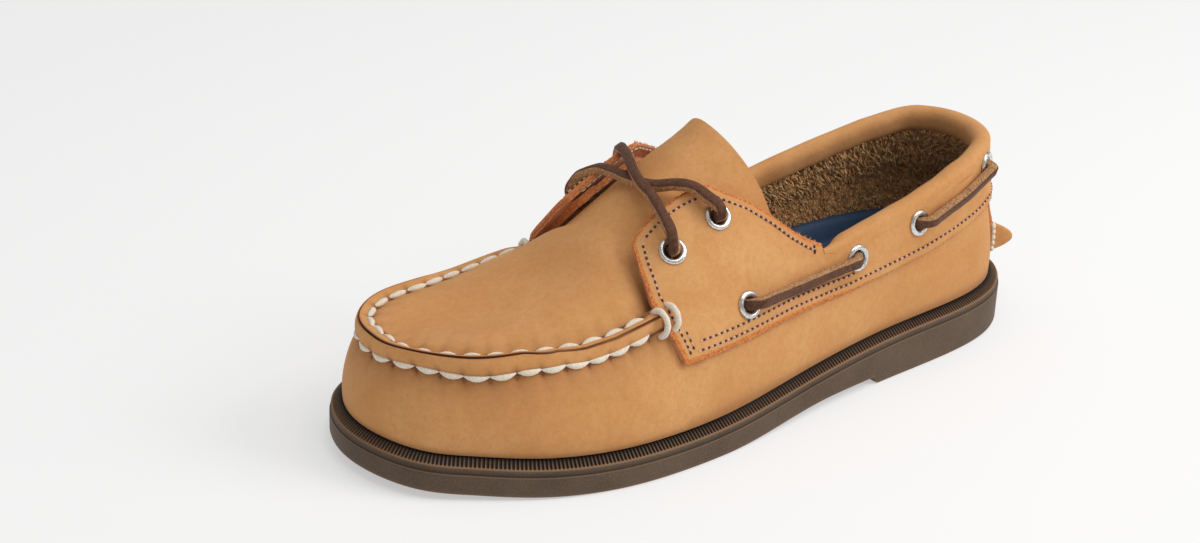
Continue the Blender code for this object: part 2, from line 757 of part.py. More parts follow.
def plug_cuts():
    """Cross cuts of the plug behind its front edge, with the faces of their two edges."""
    pairs = list(zip(front_stations(-1), front_stations(1)))
    keys = [row.along for row in PLUG_MIDDLE]
    heights = [row.height for row in PLUG_MIDDLE]
    cuts = []
    for step in PLUG_STEPS:
        edges = []
        for u in pairs[-1 - step]:
            point, normal, up = last_frame(u, seam_up(u))
            edges.append((point + up * (SEAM_WIDTH / 2.0 + GAP), up, normal))
        (outer_edge, outer_way, outer_face), (inner_edge, inner_way, inner_face) = edges
        middle = (outer_edge + inner_edge) / 2.0
        crest = np.interp(0.5 - middle[0] / OUTSOLE_LENGTH, keys, heights) * TOE_HEIGHT
        middle[2] = max(middle[2], crest)
        cut = cross_curve(outer_edge, outer_way, middle, inner_way, inner_edge, CUT_STEPS)
        cuts.append((cut, outer_face, inner_face, 0))
    return cuts


def tongue_cuts():
    """Cross cuts of the tongue, whose edges lie inside the wall."""
    depth = LEATHER + TONGUE_CLEAR
    cuts = []
    for place in TONGUE:
        ends = []
        for side in (-1, 1):
            u = station(place.edge_along, side)
            beside = seam_up(u) + step_up(u, seam_up(u), SEAM_WIDTH / 2.0 + GAP)
            w = np.linspace(place.edge_up or float(beside), place.free_up, TUCKED_STEPS + 1)
            point, normal, up = last_frame(np.full(len(w), u), w)
            ends.append((point - normal * depth * place.sunk, up[-1], normal[-1]))
        middle = np.array([along_x(place.middle_along), 0.0, place.middle * place.height])
        (outer, outer_way, outer_face), (inner, inner_way, inner_face) = ends
        over = cross_curve(outer[-1], outer_way, middle, inner_way, inner[-1], CUT_STEPS - TUCKED_STEPS)
        cut = np.concatenate([outer[:-1], over, inner[::-1][1:]])
        cuts.append((cut, outer_face, inner_face, TUCKED_STEPS))
    return cuts


def build_plug(finish):
    """The plug over the toes, which goes on as the tongue."""
    front, front_faces = front_cut()
    cuts = plug_cuts() + tongue_cuts()
    skin = np.array([front] + [cut for cut, _, _, _ in cuts])
    run = np.gradient(skin[:, CUT_STEPS - 1], axis=0)
    crest_faces = np.column_stack([-run[:, 2], np.zeros(len(run)), run[:, 0]])
    crest_faces = crest_faces / np.linalg.norm(crest_faces, axis=1, keepdims=True)
    faced = [front_faces]
    for (cut, outer_face, inner_face, tucked), crest_face in zip(cuts, crest_faces[1:]):
        blend = np.clip((np.arange(CUT_STEPS) - tucked) / (CUT_STEPS - 1.0 - tucked), 0.0, 1.0)[:, None]
        halves = [face * (1.0 - blend) + crest_face * blend for face in (outer_face, inner_face)]
        faced.append(np.concatenate([halves[0], halves[1][::-1][1:]]))
    vertices, faces = shell(skin, skin - np.array(faced) * LEATHER)
    return add_object("plug_tongue", vertices, faces, finish)


def beside_heel(distance):
    """The change of u that a distance to the side of the back seam makes, high on the heel."""
    side = FINE[FINE < station(STAY_SEARCH, -1)]
    return float(np.interp(distance, np.abs(last_point(side, STAY_LEVEL)[:, 1]), side))


def build_eyestay(side, name, finish):
    """The eyestay and the band behind it, from its front edge to the heel stay."""
    heel = 0.0 if side < 0 else TURN
    start = heel - side * beside_heel(STAY_WIDTH / 2.0 + STAY_CLEAR)
    rear = rear_stations(side)
    rear = rear[np.abs(rear - heel) > STAY_SPREAD * abs(start - heel)]
    u = np.concatenate([[start], rear, [station(FRONT_EDGE, side)]])
    low = up_at_height(u, from_table(LOW_EDGE, along_of(u), QUARTER_HEIGHT))
    vertices, faces = patch(u, low, trimmed_up(u), BAND_ROWS, GAP, GAP + LEATHER)
    return add_object(name, vertices, faces, finish)


def build_collar(finish):
    """The padded roll round the opening: over the edge of wall and band, and down inside the wall."""
    outer = np.linspace(0.0, station(COLLAR_FRONT - COLLAR_START, -1), ROLL_STEPS)
    inner = np.linspace(station(COLLAR_FRONT - COLLAR_START, 1), TURN, ROLL_STEPS)
    u = np.concatenate([outer[::-1], inner[::-1][1:]])
    point, normal, up = last_frame(u, trimmed_up(u))
    face = LEATHER + GAP
    roll = [
        (row.rise * (COLLAR_HEIGHT if row.rise > 0.0 else COLLAR_DROP), face - row.depth * COLLAR_THICKNESS)
        for row in ROLL
    ]
    profile = [(GAP, face), *roll, (-COLLAR_DROP, -face), (GAP, -face)]
    rings = np.stack([point + up * rise + normal * lift for rise, lift in profile], axis=1)
    vertices, faces = tube(rings)
    return add_object("collar", vertices, faces, finish, sharp=60.0)


def build_stay(finish):
    """The narrow stay over the back seam, between the two bands' ends."""
    half = beside_heel(STAY_WIDTH / 2.0)
    u = np.linspace(-half, half, STAY_COLUMNS)
    low = up_at_height(u, np.full(len(u), seat(0.0) + FIN_HEIGHT + 2.0 * GAP))
    vertices, faces = patch(u, low, trimmed_up(u), STAY_ROWS, GAP, STAY_THICKNESS)
    return add_object("heel_stay", vertices, faces, finish)


def build_fin(finish):
    """The pinched fin of leather that stands out low on the back seam and leans to the outer side."""
    height = seat(0.0) + 2.0 * GAP + FIN_HEIGHT * np.array([row.level for row in FIN])
    centre = np.zeros(len(FIN))
    root = last_point(centre, up_at_height(centre, height))[:, 0] + GAP
    half = FIN_THICKNESS / 2.0
    full = FIN_FULLNESS * half
    rings = []
    for row, x, z in zip(FIN, root, height):
        tip = row.reach * FIN_LENGTH
        lean = -row.reach * FIN_LEAN
        shoulder = FIN_SHOULDER * lean
        rings.append([
            (x, -half, z), (x + FIN_SHOULDER * tip, shoulder - full, z), (x + tip, lean, z),
            (x + FIN_SHOULDER * tip, shoulder + full, z), (x, half, z),
        ])
    vertices, faces = tube(np.array(rings))
    return add_object("heel_fin", vertices, faces, finish)


def build_insole(finish):
    """The cupped insole, whose rim stands against the wall."""
    share = np.linspace(INSOLE_ENDS, 1.0 - INSOLE_ENDS, INSOLE_CUTS)
    sides = [heel + (FINE[TOE_INDEX] - heel) * share for heel in (0.0, TURN)]
    lining = -(LEATHER + 1.5 * GAP)
    rows_top = []
    rows_under = []
    for ends in zip(*sides):
        along = float(along_of(ends[0]) + along_of(ends[1])) / 2.0
        floor = float(seat(along)) + GAP
        cup = CUP_HEIGHT * (1.0 - smooth(along, *CUP_END))
        edges = []
        feet = []
        for u in ends:
            edges.append(lifted(u, up_at_height(u, floor + cup + INSOLE_THICKNESS), lining))
            foot = lifted(u, up_at_height(u, floor + 2.0 * INSOLE_EASE), lining - INSOLE_EASE)
            feet.append(np.array([foot[0], foot[1], floor]))
        across = edges[1] - edges[0]
        span = np.linalg.norm(across[:2])
        wall = min(CUP_WALL, CUP_NARROW * span) / span
        rim = [(row.walls * wall, row.depth) for row in CUP]
        inner_rim = [(1.0 - share, depth) for share, depth in reversed(rim)]
        top = []
        for place, depth in [*rim, (0.5, 1.0), *inner_rim]:
            top.append(edges[0] + across * place - np.array([0.0, 0.0, depth * CUP_SHARE * cup]))
        rows_top.append(top)
        rows_under.append([feet[0] + (feet[1] - feet[0]) * place for place in INSOLE_UNDER])
    vertices, faces = shell(np.array(rows_top), np.array(rows_under))
    return add_object("insole", vertices, faces, finish)


def eyelet_frame(place, side):
    """Centre on the overlay's face, and the axes of an eyelet."""
    u = station(place.along, side)
    w = up_at_height(u, place.height * place.measure)
    point, normal, up = last_frame(u, w)
    return point + normal * (LEATHER + GAP), normal, up


def ring_points(centre, normal, up, radius, sides):
    """Points of a circle round an axis."""
    across = np.cross(up, normal)
    turn = np.linspace(0.0, 2.0 * np.pi, sides, endpoint=False)
    return centre + radius * (np.outer(np.cos(turn), across) + np.outer(np.sin(turn), up))


def build_eyelet(place, side, name, finish):
    """A rolled metal eyelet: its flange on the leather and its barrel through both layers."""
    centre, normal, up = eyelet_frame(place, side)
    bore = EYELET_BORE / 2.0
    barrel = bore + BARREL_WALL
    flange = EYELET_OUTER / 2.0
    crest = bore + EYELET_CREST * (flange - bore)
    bottom = -(2.0 * LEATHER + GAP)
    profile = ((bore, bottom), (crest, EYELET_HEIGHT + GAP), (flange, GAP), (barrel, GAP), (barrel, bottom))
    sides = CIRCLE_SIDES
    circles = [ring_points(centre + normal * lift, normal, up, radius, sides) for radius, lift in profile]
    rings = np.stack(circles)
    vertices = rings.reshape(-1, 3)
    faces = []
    count = len(profile)
    for i in range(count):
        j = (i + 1) % count
        for k in range(sides):
            m = (k + 1) % sides
            faces.append((i * sides + k, j * sides + k, j * sides + m, i * sides + m))
    return add_object(name, vertices, faces, finish, sharp=50.0)


def cut_hole(targets, place, side, name):
    """Cuts an eyelet's hole through wall and overlay."""
    centre, normal, up = eyelet_frame(place, side)
    radius = EYELET_BORE / 2.0 + BARREL_WALL + GAP
    reach = 3.0 * LEATHER
    ends = (centre - normal * reach, centre + normal * reach)
    rings = np.stack([ring_points(end, normal, up, radius, CIRCLE_SIDES) for end in ends])
    vertices, faces = tube(rings)
    cutter = add_object(name, vertices, faces, None)
    cutter.hide_render = True
    cutter.display_type = "WIRE"
    for target in targets:
        cut = target.modifiers.new(name, "BOOLEAN")
        cut.operation = "DIFFERENCE"
        cut.solver = "EXACT"
        cut.object = cutter


def eyelet_named(name):
    """The table's row of an eyelet."""
    return next(row for row in EYELETS if row.name == name)


def lace_rise(place, side):
    """The first two points of a lace that rises out of an eyelet, and the eyelet's axis."""
    centre, normal, _ = eyelet_frame(place, side)
    mouth = centre + normal * (EYELET_HEIGHT + 2.0 * GAP)
    return mouth, mouth + normal * LACE_RISE * LACE_WIDTH, normal


def lace_bar(points, faced):
    """Rings of a square lace through points; faced gives the way that one side faces at each."""
    leg = np.diff(points, axis=0)
    leg = leg / np.linalg.norm(leg, axis=1, keepdims=True)
    run = np.vstack([leg[:1], leg[:-1] + leg[1:], leg[-1:]])
    run = run / np.linalg.norm(run, axis=1, keepdims=True)
    across = np.cross(run, faced)
    across = across / np.linalg.norm(across, axis=1, keepdims=True)
    over = np.cross(across, run)
    half = LACE_WIDTH / 2.0
    corners = ((half, half), (-half, half), (-half, -half), (half, -half))
    return np.stack([points + across * a + over * b for a, b in corners], axis=1)


def crossing_strand(first_name, table, last_name):
    """One strand of the crossing, from an outer eyelet over the tongue to an inner one."""
    start, start_bend, start_normal = lace_rise(eyelet_named(first_name), -1)
    end, end_bend, end_normal = lace_rise(eyelet_named(last_name), 1)
    middle = [(along_x(row.along), row.across * BALL_WIDTH, row.height * INSTEP_HEIGHT) for row in table]
    points = np.array([start, start_bend, *middle, end_bend, end])
    blend = smooth(np.linspace(0.0, 1.0, len(points)), *LACE_TURN)[:, None]
    faced = start_normal * (1.0 - blend) + end_normal * blend
    towards_toe = np.array([-1.0, 0.0, 0.0])
    faced[:2] = faced[:2] + towards_toe
    faced[-2:] = faced[-2:] + towards_toe
    return tube(lace_bar(points, faced))


def build_crossing(finish):
    """The two strands that cross over the tongue, joined where they touch."""
    under = add_object("lace_crossing", *crossing_strand("front_high", UNDER_STRAND, "front_low"), finish)
    over = add_object("cutter_strand", *crossing_strand("front_low", OVER_STRAND, "front_high"), finish)
    over.hide_render = True
    over.display_type = "WIRE"
    join = under.modifiers.new("strand", "BOOLEAN")
    join.operation = "UNION"
    join.solver = "EXACT"
    join.object = over


def build_lace_run(side, first_name, last_name, name, finish):
    """A lace run that lies along the side between two eyelets."""
    first = eyelet_named(first_name)
    last = eyelet_named(last_name)
    share = np.linspace(0.0, 1.0, RUN_STEPS)
    u = np.interp(share, (0.0, 1.0), (station(first.along, side), station(last.along, side)))
    height = np.interp(share, (0.0, 1.0), (first.height * first.measure, last.height * last.measure))
    w = up_at_height(u, height)
    lift = np.full(len(share), LEATHER + 4.0 * GAP + EYELET_HEIGHT + LACE_WIDTH / 2.0)
    vertices, faces = tube(lace_bar(lifted(u, w, lift), last_frame(u, w)[1]))
    return add_object(name, vertices, faces, finish)


def centre_on_floor():
    """Moves all meshes so that the origin is the middle of the shoe's box, on the floor."""
    made = [piece for piece in bpy.data.objects if not piece.hide_render]
    corners = np.array([corner for piece in made for corner in piece.bound_box])
    low, high = corners.min(axis=0), corners.max(axis=0)
    shift = Matrix.Translation((-(low[0] + high[0]) / 2.0, -(low[1] + high[1]) / 2.0, -low[2]))
    for piece in bpy.data.objects:
        piece.data.transform(shift)


def main():
    """Builds the shoe piece by piece."""
    for old in list(bpy.data.objects):
        bpy.data.objects.remove(old)
    leather = material("tan leather", (0.60, 0.32, 0.14), 0.75)
    rubber = material("brown rubber", (0.14, 0.10, 0.07), 0.7)
    lining = material("blue insole", (0.01, 0.05, 0.11), 0.8)
    build_outsole(rubber)
    upper = build_upper(leather)
    build_plug(leather)
    build_seam(leather)
    sides = ((-1, "lateral"), (1, "medial"))
    bands = {side: build_eyestay(side, f"eyestay_{word}", leather) for side, word in sides}
    build_collar(leather)
    build_stay(leather)
    build_fin(leather)
    build_insole(lining)
    metal = material("silver eyelet", (0.62, 0.62, 0.60), 0.3, 1.0)
    for side, word in sides:
        for place in EYELETS:
            name = f"eyelet_{word}_{place.name}"
            build_eyelet(place, side, name, metal)
            cut_hole((upper, bands[side]), place, side, f"cutter_{name}")
    hide = material("brown lace", (0.10, 0.055, 0.035), 0.8)
    build_crossing(hide)
    for side, word in sides:
        build_lace_run(side, "side_1", "side_2", f"lace_{word}_front", hide)
        build_lace_run(side, "side_3", "side_4", f"lace_{word}_back", hide)
    centre_on_floor()


main()
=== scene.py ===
"""The finish of a tan nubuck boat shoe for the left foot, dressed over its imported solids.

Every leather piece lies on one curved form, the last. `u` runs once round the shoe: from the back seam along
the outer side, round the toe and back along the inner side. `w` runs up a section of the last, from the
feather line (0) to the crown line (1). Lengths are in metres, toe towards -X, outer side towards -Y.
"""

import logging
import math
from dataclasses import dataclass, field
from enum import Enum
from typing import Callable, NamedTuple, Optional, Sequence

import bpy
import numpy as np
from mathutils import Matrix, Vector


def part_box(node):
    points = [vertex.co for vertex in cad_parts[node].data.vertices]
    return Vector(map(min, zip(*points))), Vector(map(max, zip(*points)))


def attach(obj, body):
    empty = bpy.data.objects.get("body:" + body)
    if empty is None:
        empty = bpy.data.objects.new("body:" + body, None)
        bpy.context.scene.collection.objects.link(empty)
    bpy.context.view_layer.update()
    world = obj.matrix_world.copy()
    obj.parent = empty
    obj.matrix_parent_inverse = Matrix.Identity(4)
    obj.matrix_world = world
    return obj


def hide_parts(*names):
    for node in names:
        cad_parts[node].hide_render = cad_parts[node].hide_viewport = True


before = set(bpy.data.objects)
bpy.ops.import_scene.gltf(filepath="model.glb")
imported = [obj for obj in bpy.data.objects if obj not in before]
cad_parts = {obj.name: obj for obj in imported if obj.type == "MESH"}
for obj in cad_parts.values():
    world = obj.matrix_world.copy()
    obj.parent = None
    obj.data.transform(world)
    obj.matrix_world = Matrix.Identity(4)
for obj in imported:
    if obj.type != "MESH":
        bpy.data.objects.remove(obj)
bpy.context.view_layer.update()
BODY = "root"
LOG = logging.getLogger("boat_shoe")
Grid = np.ndarray
Color = tuple[float, float, float]
Surface = tuple[Grid, Grid, Grid]
Node = bpy.types.Node
Socket = bpy.types.NodeSocket
Piece = bpy.types.Object
Finish = bpy.types.Material


class Section(NamedTuple):
    """One cut across the last; widths are shares of `width`, heights shares of `height`."""

    along: float
    width: float
    lateral: float
    medial: float
    crown_along: float
    crown_lateral: float
    crown_medial: float
    height: float
    crown: float
    belly: float
    roll: float
    drop: float


class EdgePoint(NamedTuple):
    """A point of an edge in side view: share of the length, and share of the quarter's height."""

    along: float
    height: float


class SeamPlace(NamedTuple):
    """The moccasin seam's distance from the middle line, shares of the ball's width."""

    along: float
    lateral: float
    medial: float


class EyeletPlace(NamedTuple):
    """An eyelet's place along the shoe, and its height as a share of a named height."""

    name: str
    along: float
    measure: float
    height: float


def table(kind: type, *rows: tuple) -> tuple:
    """Rows of numbers as places of one kind."""
    return tuple(kind(*row) for row in rows)


BALL, WAIST, HEEL = 0.110, 0.082, 0.072
TOE_HIGH, INSTEP_HIGH, TONGUE_HIGH, QUARTER_HIGH, BACK_HIGH = 0.043, 0.0835, 0.101, 0.060, 0.080
SECTIONS = table(
    Section,
    (0.000, HEEL, 0.000, 0.000, 0.0720, 0.000, 0.000, BACK_HIGH, 1.000, 0.9, 0.00, 0.34),
    (0.025, HEEL, 0.212, 0.232, 0.0765, 0.135, 0.135, BACK_HIGH, 0.997, 0.4, 0.00, 0.34),
    (0.080, HEEL, 0.386, 0.410, 0.1020, 0.282, 0.282, BACK_HIGH, 0.985, 0.5, 0.00, 0.34),
    (0.170, HEEL, 0.490, 0.495, 0.1680, 0.380, 0.385, BACK_HIGH, 0.925, 0.9, 0.05, 0.34),
    (0.300, WAIST, 0.485, 0.439, 0.3000, 0.390, 0.384, INSTEP_HIGH, 0.860, 0.7, 0.15, 0.32),
    (0.450, WAIST, 0.563, 0.439, 0.4500, 0.345, 0.330, INSTEP_HIGH, 0.950, 0.6, 0.30, 0.26),
    (0.580, BALL, 0.484, 0.391, 0.5800, 0.164, 0.164, INSTEP_HIGH, 1.000, 0.7, 0.42, 0.16),
    (0.680, BALL, 0.507, 0.455, 0.6800, 0.182, 0.182, INSTEP_HIGH, 0.784, 0.9, 0.50, 0.10),
    (0.760, BALL, 0.495, 0.488, 0.7600, 0.300, 0.292, TOE_HIGH, 1.130, 0.9, 0.50, 0.10),
    (0.850, BALL, 0.425, 0.475, 0.8440, 0.292, 0.312, TOE_HIGH, 1.040, 0.8, 0.50, 0.10),
    (0.920, BALL, 0.315, 0.420, 0.9030, 0.210, 0.288, TOE_HIGH, 1.014, 0.6, 0.50, 0.12),
    (0.970, BALL, 0.205, 0.300, 0.9420, 0.078, 0.205, TOE_HIGH, 1.002, 0.5, 0.50, 0.14),
    (1.000, BALL, -0.058, 0.058, 0.9560, -0.064, 0.064, TOE_HIGH, 1.000, 0.5, 0.50, 0.15),
)
SEAM_SIDE = table(
    SeamPlace, (0.660, 0.352, 0.338), (0.700, 0.352, 0.340), (0.740, 0.350, 0.339), (0.780, 0.341, 0.336),
    (0.815, 0.323, 0.330),
)
TOP_EDGE = table(
    EdgePoint, (0.000, 1.333), (0.085, 1.317), (0.145, 1.262), (0.210, 1.185), (0.280, 1.108),
    (0.350, 1.042), (0.396, 1.003), (0.424, 1.008), (0.445, 1.058), (0.469, 1.133), (0.493, 1.228),
    (0.524, 1.325), (0.560, 1.400),
)
LOW_EDGE = table(
    EdgePoint, (0.000, 0.900), (0.085, 0.875), (0.145, 0.825), (0.240, 0.745), (0.380, 0.670),
    (0.480, 0.650), (0.560, 0.617), (0.700, 0.578),
)
EYELETS = table(
    EyeletPlace, ("front_low", 0.633, INSTEP_HIGH, 0.808), ("front_high", 0.565, INSTEP_HIGH, 0.905),
    ("side_1", 0.552, QUARTER_HIGH, 0.800), ("side_2", 0.364, QUARTER_HIGH, 0.863),
    ("side_3", 0.256, QUARTER_HIGH, 0.960), ("side_4", 0.098, QUARTER_HIGH, 1.155),
)
SIDES = ((-1, "lateral"), (1, "medial"))


def smooth(value: Grid, low: float, high: float) -> Grid:
    """A soft ramp from 0 at low to 1 at high."""
    t = np.clip((np.asarray(value, dtype=float) - low) / (high - low), 0.0, 1.0)
    return t * t * (3.0 - 2.0 * t)


def bell(value: Grid, width: float, power: float = 2) -> Grid:
    """1 where the value is 0, falling off over a width."""
    return np.exp(-(value / width) ** power)


def unit(vectors: Grid) -> Grid:
    """Vectors scaled to length 1."""
    return vectors / np.maximum(np.linalg.norm(vectors, axis=-1, keepdims=True), 1e-12)


def halved(below: Callable[[Grid], Grid], low: Grid, high: Grid) -> Grid:
    """Where a test that holds at low stops to hold, found by halving the range."""
    for _ in range(32):
        middle = (low + high) / 2.0
        under = below(middle)
        low, high = np.where(under, middle, low), np.where(under, high, middle)
    return (low + high) / 2.0


def run_length(points: Grid) -> Grid:
    """The distance run along a path, at each of its points."""
    return np.concatenate([[0.0], np.cumsum(np.linalg.norm(np.diff(points, axis=0), axis=1))])


def along_rows(at: Grid, length: Grid, rows: Grid) -> Grid:
    """Rows of numbers read at lengths along a path."""
    return np.stack([np.interp(at, length, rows[:, n]) for n in range(rows.shape[1])], axis=1)


def through(points: Grid, count: int) -> Grid:
    """A smooth curve through rows of points, evened out by chord length.

    Args:
        points: rows to pass through, of any trailing shape.
        count: how many rows to return.

    Returns:
        The resampled rows.
    """
    flat = np.asarray(points, dtype=float).reshape(len(points), -1)
    chord = np.linalg.norm(np.diff(flat, axis=0), axis=1) ** 0.5
    knots = np.concatenate([[0.0], np.cumsum(np.maximum(chord, 1e-9))])
    step = np.diff(knots)
    slope = np.diff(flat, axis=0) / step[:, None]
    tangent = np.vstack([slope[:1], (slope[:-1] * step[1:, None] + slope[1:] * step[:-1, None])
                         / (step[1:] + step[:-1])[:, None], slope[-1:]])
    at = np.interp(np.linspace(0.0, 1.0, count), np.linspace(0.0, 1.0, len(knots)), knots)
    i = np.clip(np.searchsorted(knots, at, side="right") - 1, 0, len(step) - 1)
    t = ((at - knots[i]) / step[i])[:, None]
    h = step[i][:, None]
    made = ((2 * t ** 3 - 3 * t ** 2 + 1) * flat[i] + (t ** 3 - 2 * t ** 2 + t) * h * tangent[i]
            + (3 * t ** 2 - 2 * t ** 3) * flat[i + 1] + (t ** 3 - t ** 2) * h * tangent[i + 1])
    return made.reshape((count,) + np.asarray(points).shape[1:])


@dataclass(frozen=True)
class Sizes:
    """The shoe's named sizes."""

    length: float = 0.290
    forefoot: float = 0.0100
    heel: float = 0.0168
    spring: float = 0.0035
    arch: float = 0.0030
    welt: float = 0.0045
    welt_rise: float = 0.0022
    belly: float = 0.0030
    leather: float = 0.0020
    gap: float = 0.0003
    seam_width: float = 0.0068
    seam_height: float = 0.0033
    collar_height: float = 0.0032
    collar_drop: float = 0.0058
    collar_thick: float = 0.0074
    front_edge: float = 0.672
    wall_notch: float = 0.669
    wall_slant: float = 0.648
    throat_back: float = 0.560
    collar_front: float = 0.420
    seam_start: float = 0.675

    @property
    def face(self) -> float:
        """How high an overlay's face lies over the last."""
        return self.leather + self.gap


SIZE = Sizes()


class Last:
    """The form that the leather is drawn over, as a function of u and w."""

    def __init__(self) -> None:
        """Fits closed splines through the sections and finds the shoe's place in the frame."""
        outer = [(row, -1.0) for row in SECTIONS]
        inner = [(row, 1.0) for row in SECTIONS[-2:0:-1]]
        self.stations = outer + inner + [(SECTIONS[0], -1.0)]
        self.edge = np.array([
            (self.along_x(row.along), side * (row.lateral if side < 0 else row.medial) * row.width)
            for row, side in self.stations
        ])
        chord = np.linalg.norm(np.diff(self.edge, axis=0), axis=1) ** 0.5
        self.knots = np.concatenate([[0.0], np.cumsum(chord)])
        self.turn = self.knots[-1]
        self.edge_bend = self.second(self.edge)
        self.control = self.control_points()
        self.control_bend = self.second(self.control)
        self.fine = np.linspace(0.0, self.turn, 2401)
        line = self.outline(self.fine)
        self.toe = int(np.argmin(line[:, 0]))
        self.tip = float(self.fine[self.toe])
        self.fine_x = line[:, 0]
        low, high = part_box("outsole")
        middle = (line.min(axis=0) + line.max(axis=0)) / 2.0
        self.shift = np.array([(low.x + high.x) / 2.0 - middle[0], (low.y + high.y) / 2.0 - middle[1], 0.0])

    @staticmethod
    def along_x(along: Grid) -> Grid:
        """The unshifted X of a share of the length, counted from the heel."""
        return SIZE.length * (0.5 - along)

    def second(self, values: Grid) -> Grid:
        """Second derivatives of the closed cubic spline through values."""
        count = len(self.knots) - 1
        step = np.diff(self.knots)
        matrix = np.zeros((count, count))
        slope = np.diff(values, axis=0) / step[:, None]
        right = np.zeros((count, values.shape[1]))
        for i in range(count):
            matrix[i, i - 1] += step[i - 1]
            matrix[i, i] += 2.0 * (step[i - 1] + step[i])
            matrix[i, (i + 1) % count] += step[i]
            right[i] = 6.0 * (slope[i] - slope[i - 1])
        bend = np.linalg.solve(matrix, right)
        return np.vstack([bend, bend[:1]])

    def at(self, values: Grid, bend: Grid, query: Grid) -> Grid:
        """A closed spline's values at the queries."""
        query = np.mod(query, self.turn)
        i = np.clip(np.searchsorted(self.knots, query, side="right") - 1, 0, len(self.knots) - 2)
        step = self.knots[i + 1] - self.knots[i]
        a = ((self.knots[i + 1] - query) / step)[..., None]
        b = 1.0 - a
        curve = (a ** 3 - a) * bend[i] + (b ** 3 - b) * bend[i + 1]
        return a * values[i] + b * values[i + 1] + curve * (step[..., None] ** 2) / 6.0

    def outline(self, u: Grid, inset: float = 0.0) -> Grid:
        """The outsole's unshifted outline at u, moved in by inset."""
        u = np.asarray(u, dtype=float)
        step = self.turn * 1e-4
        before, point, after = [self.at(self.edge, self.edge_bend, v) for v in (u - step, u, u + step)]
        run = unit(after - before)
        return point - inset * np.stack([-run[..., 1], run[..., 0]], axis=-1)

    def control_points(self) -> Grid:
        """The four control points of each station's section, in one row."""
        feet = self.outline(self.knots, SIZE.welt)
        rows = []
        for (row, side), foot in zip(self.stations, feet):
            low = float(self.seat(row.along)) + SIZE.gap
            share = row.crown_lateral if side < 0 else row.crown_medial
            crown = np.array([self.along_x(row.crown_along), side * share * row.width, row.crown * row.height])
            start = np.array([foot[0], foot[1], low])
            out = start - crown
            out[2] = 0.0
            reach = np.linalg.norm(out)
            rise = crown[2] - low
            away = out / reach
            first = start + away * row.belly * SIZE.belly + np.array([0.0, 0.0, 0.36 * rise])
            second = crown + away * row.roll * reach - np.array([0.0, 0.0, row.drop * rise])
            rows.append(np.concatenate([start, first, second, crown]))
        return np.array(rows)

    @staticmethod
    def toe_lift(along: Grid) -> Grid:
        """How far the toe spring lifts the sole."""
        return SIZE.spring * np.clip((along - 0.74) / 0.26, 0.0, 1.0) ** 2

    def bottom(self, along: Grid) -> Grid:
        """Height of the sole's underside."""
        arch = SIZE.arch * smooth(along, 0.315, 0.325) * (1.0 - smooth(along, 0.40, 0.60))
        return arch + self.toe_lift(along)

    def rim(self, along: Grid) -> Grid:
        """Height of the sole's upper rim."""
        return SIZE.heel - (SIZE.heel - SIZE.forefoot) * smooth(along, 0.22, 0.66) + self.toe_lift(along)

    def seat(self, along: Grid) -> Grid:
        """Height of the sole's inner top."""
        return self.rim(along) + SIZE.welt_rise

    def own(self, u: Grid, w: Grid) -> Grid:
        """A point on the last before it is moved to its place in the frame."""
        u, w = np.broadcast_arrays(np.asarray(u, dtype=float), np.asarray(w, dtype=float))
        c = self.at(self.control, self.control_bend, u)
        w = w[..., None]
        v = 1.0 - w
        return (v ** 3 * c[..., 0:3] + 3.0 * v * v * w * c[..., 3:6] + 3.0 * v * w * w * c[..., 6:9]
                + w ** 3 * c[..., 9:12])

    def frame(self, u: Grid, w: Grid) -> Surface:
        """Point, outward normal and upward direction on the last."""
        tiny = 1e-4
        point = self.own(u, w)
        run = self.own(u + tiny * self.turn, w) - self.own(u - tiny * self.turn, w)
        up = unit(self.own(u, w + tiny) - self.own(u, w - tiny))
        return point + self.shift, unit(np.cross(up, run)), up

    def lifted(self, u: Grid, w: Grid, lift: Grid) -> Grid:
        """A point at a height over the last."""
        point, normal, _ = self.frame(u, w)
        return point + normal * np.asarray(lift)[..., None]

    def station(self, along: Grid, side: int) -> Grid:
        """The u of a share of the length, on the outer (-1) or inner (+1) side."""
        x = self.along_x(np.asarray(along, dtype=float))
        if side < 0:
            return np.interp(-x, -self.fine_x[: self.toe + 1], self.fine[: self.toe + 1])
        return np.interp(x, self.fine_x[self.toe:], self.fine[self.toe:])

    def along_of(self, u: Grid) -> Grid:
        """The share of the length at u."""
        return 0.5 - self.outline(u)[..., 0] / SIZE.length

    def up_at_height(self, u: Grid, height: Grid) -> Grid:
        """The w at which the section at u reaches a height."""
        u = np.asarray(u, dtype=float)
        return halved(lambda w: self.own(u, w)[..., 2] < height, np.zeros_like(u), np.ones_like(u) * 1.05)

    def step_up(self, u: Grid, w: Grid, distance: Grid) -> Grid:
        """The change of w that a distance up the surface makes."""
        length = np.linalg.norm(self.own(u, w + 1e-4) - self.own(u, w - 1e-4), axis=-1) / 2e-4
        return distance / length

    def table_up(self, edge: Sequence[EdgePoint], u: Grid) -> Grid:
        """Where an edge given in side view lies up the last."""
        heights = np.interp(self.along_of(u), [row.along for row in edge], [row.height for row in edge])
        return self.up_at_height(u, heights * QUARTER_HIGH)

    def seam_up(self, u: Grid) -> Grid:
        """The moccasin seam's place up the last."""
        u = np.asarray(u, dtype=float)
        along = self.along_of(u)
        keys = [row.along for row in SEAM_SIDE]
        lateral = np.interp(along, keys, [row.lateral for row in SEAM_SIDE])
        medial = np.interp(along, keys, [row.medial for row in SEAM_SIDE])
        half = np.where(u < self.tip, lateral, medial) * BALL
        w = halved(lambda w: np.abs(self.own(u, w)[..., 1]) > half, np.zeros_like(u), np.ones_like(u))
        blend = smooth(along, 0.79, 0.86)
        return w * (1.0 - blend) + blend

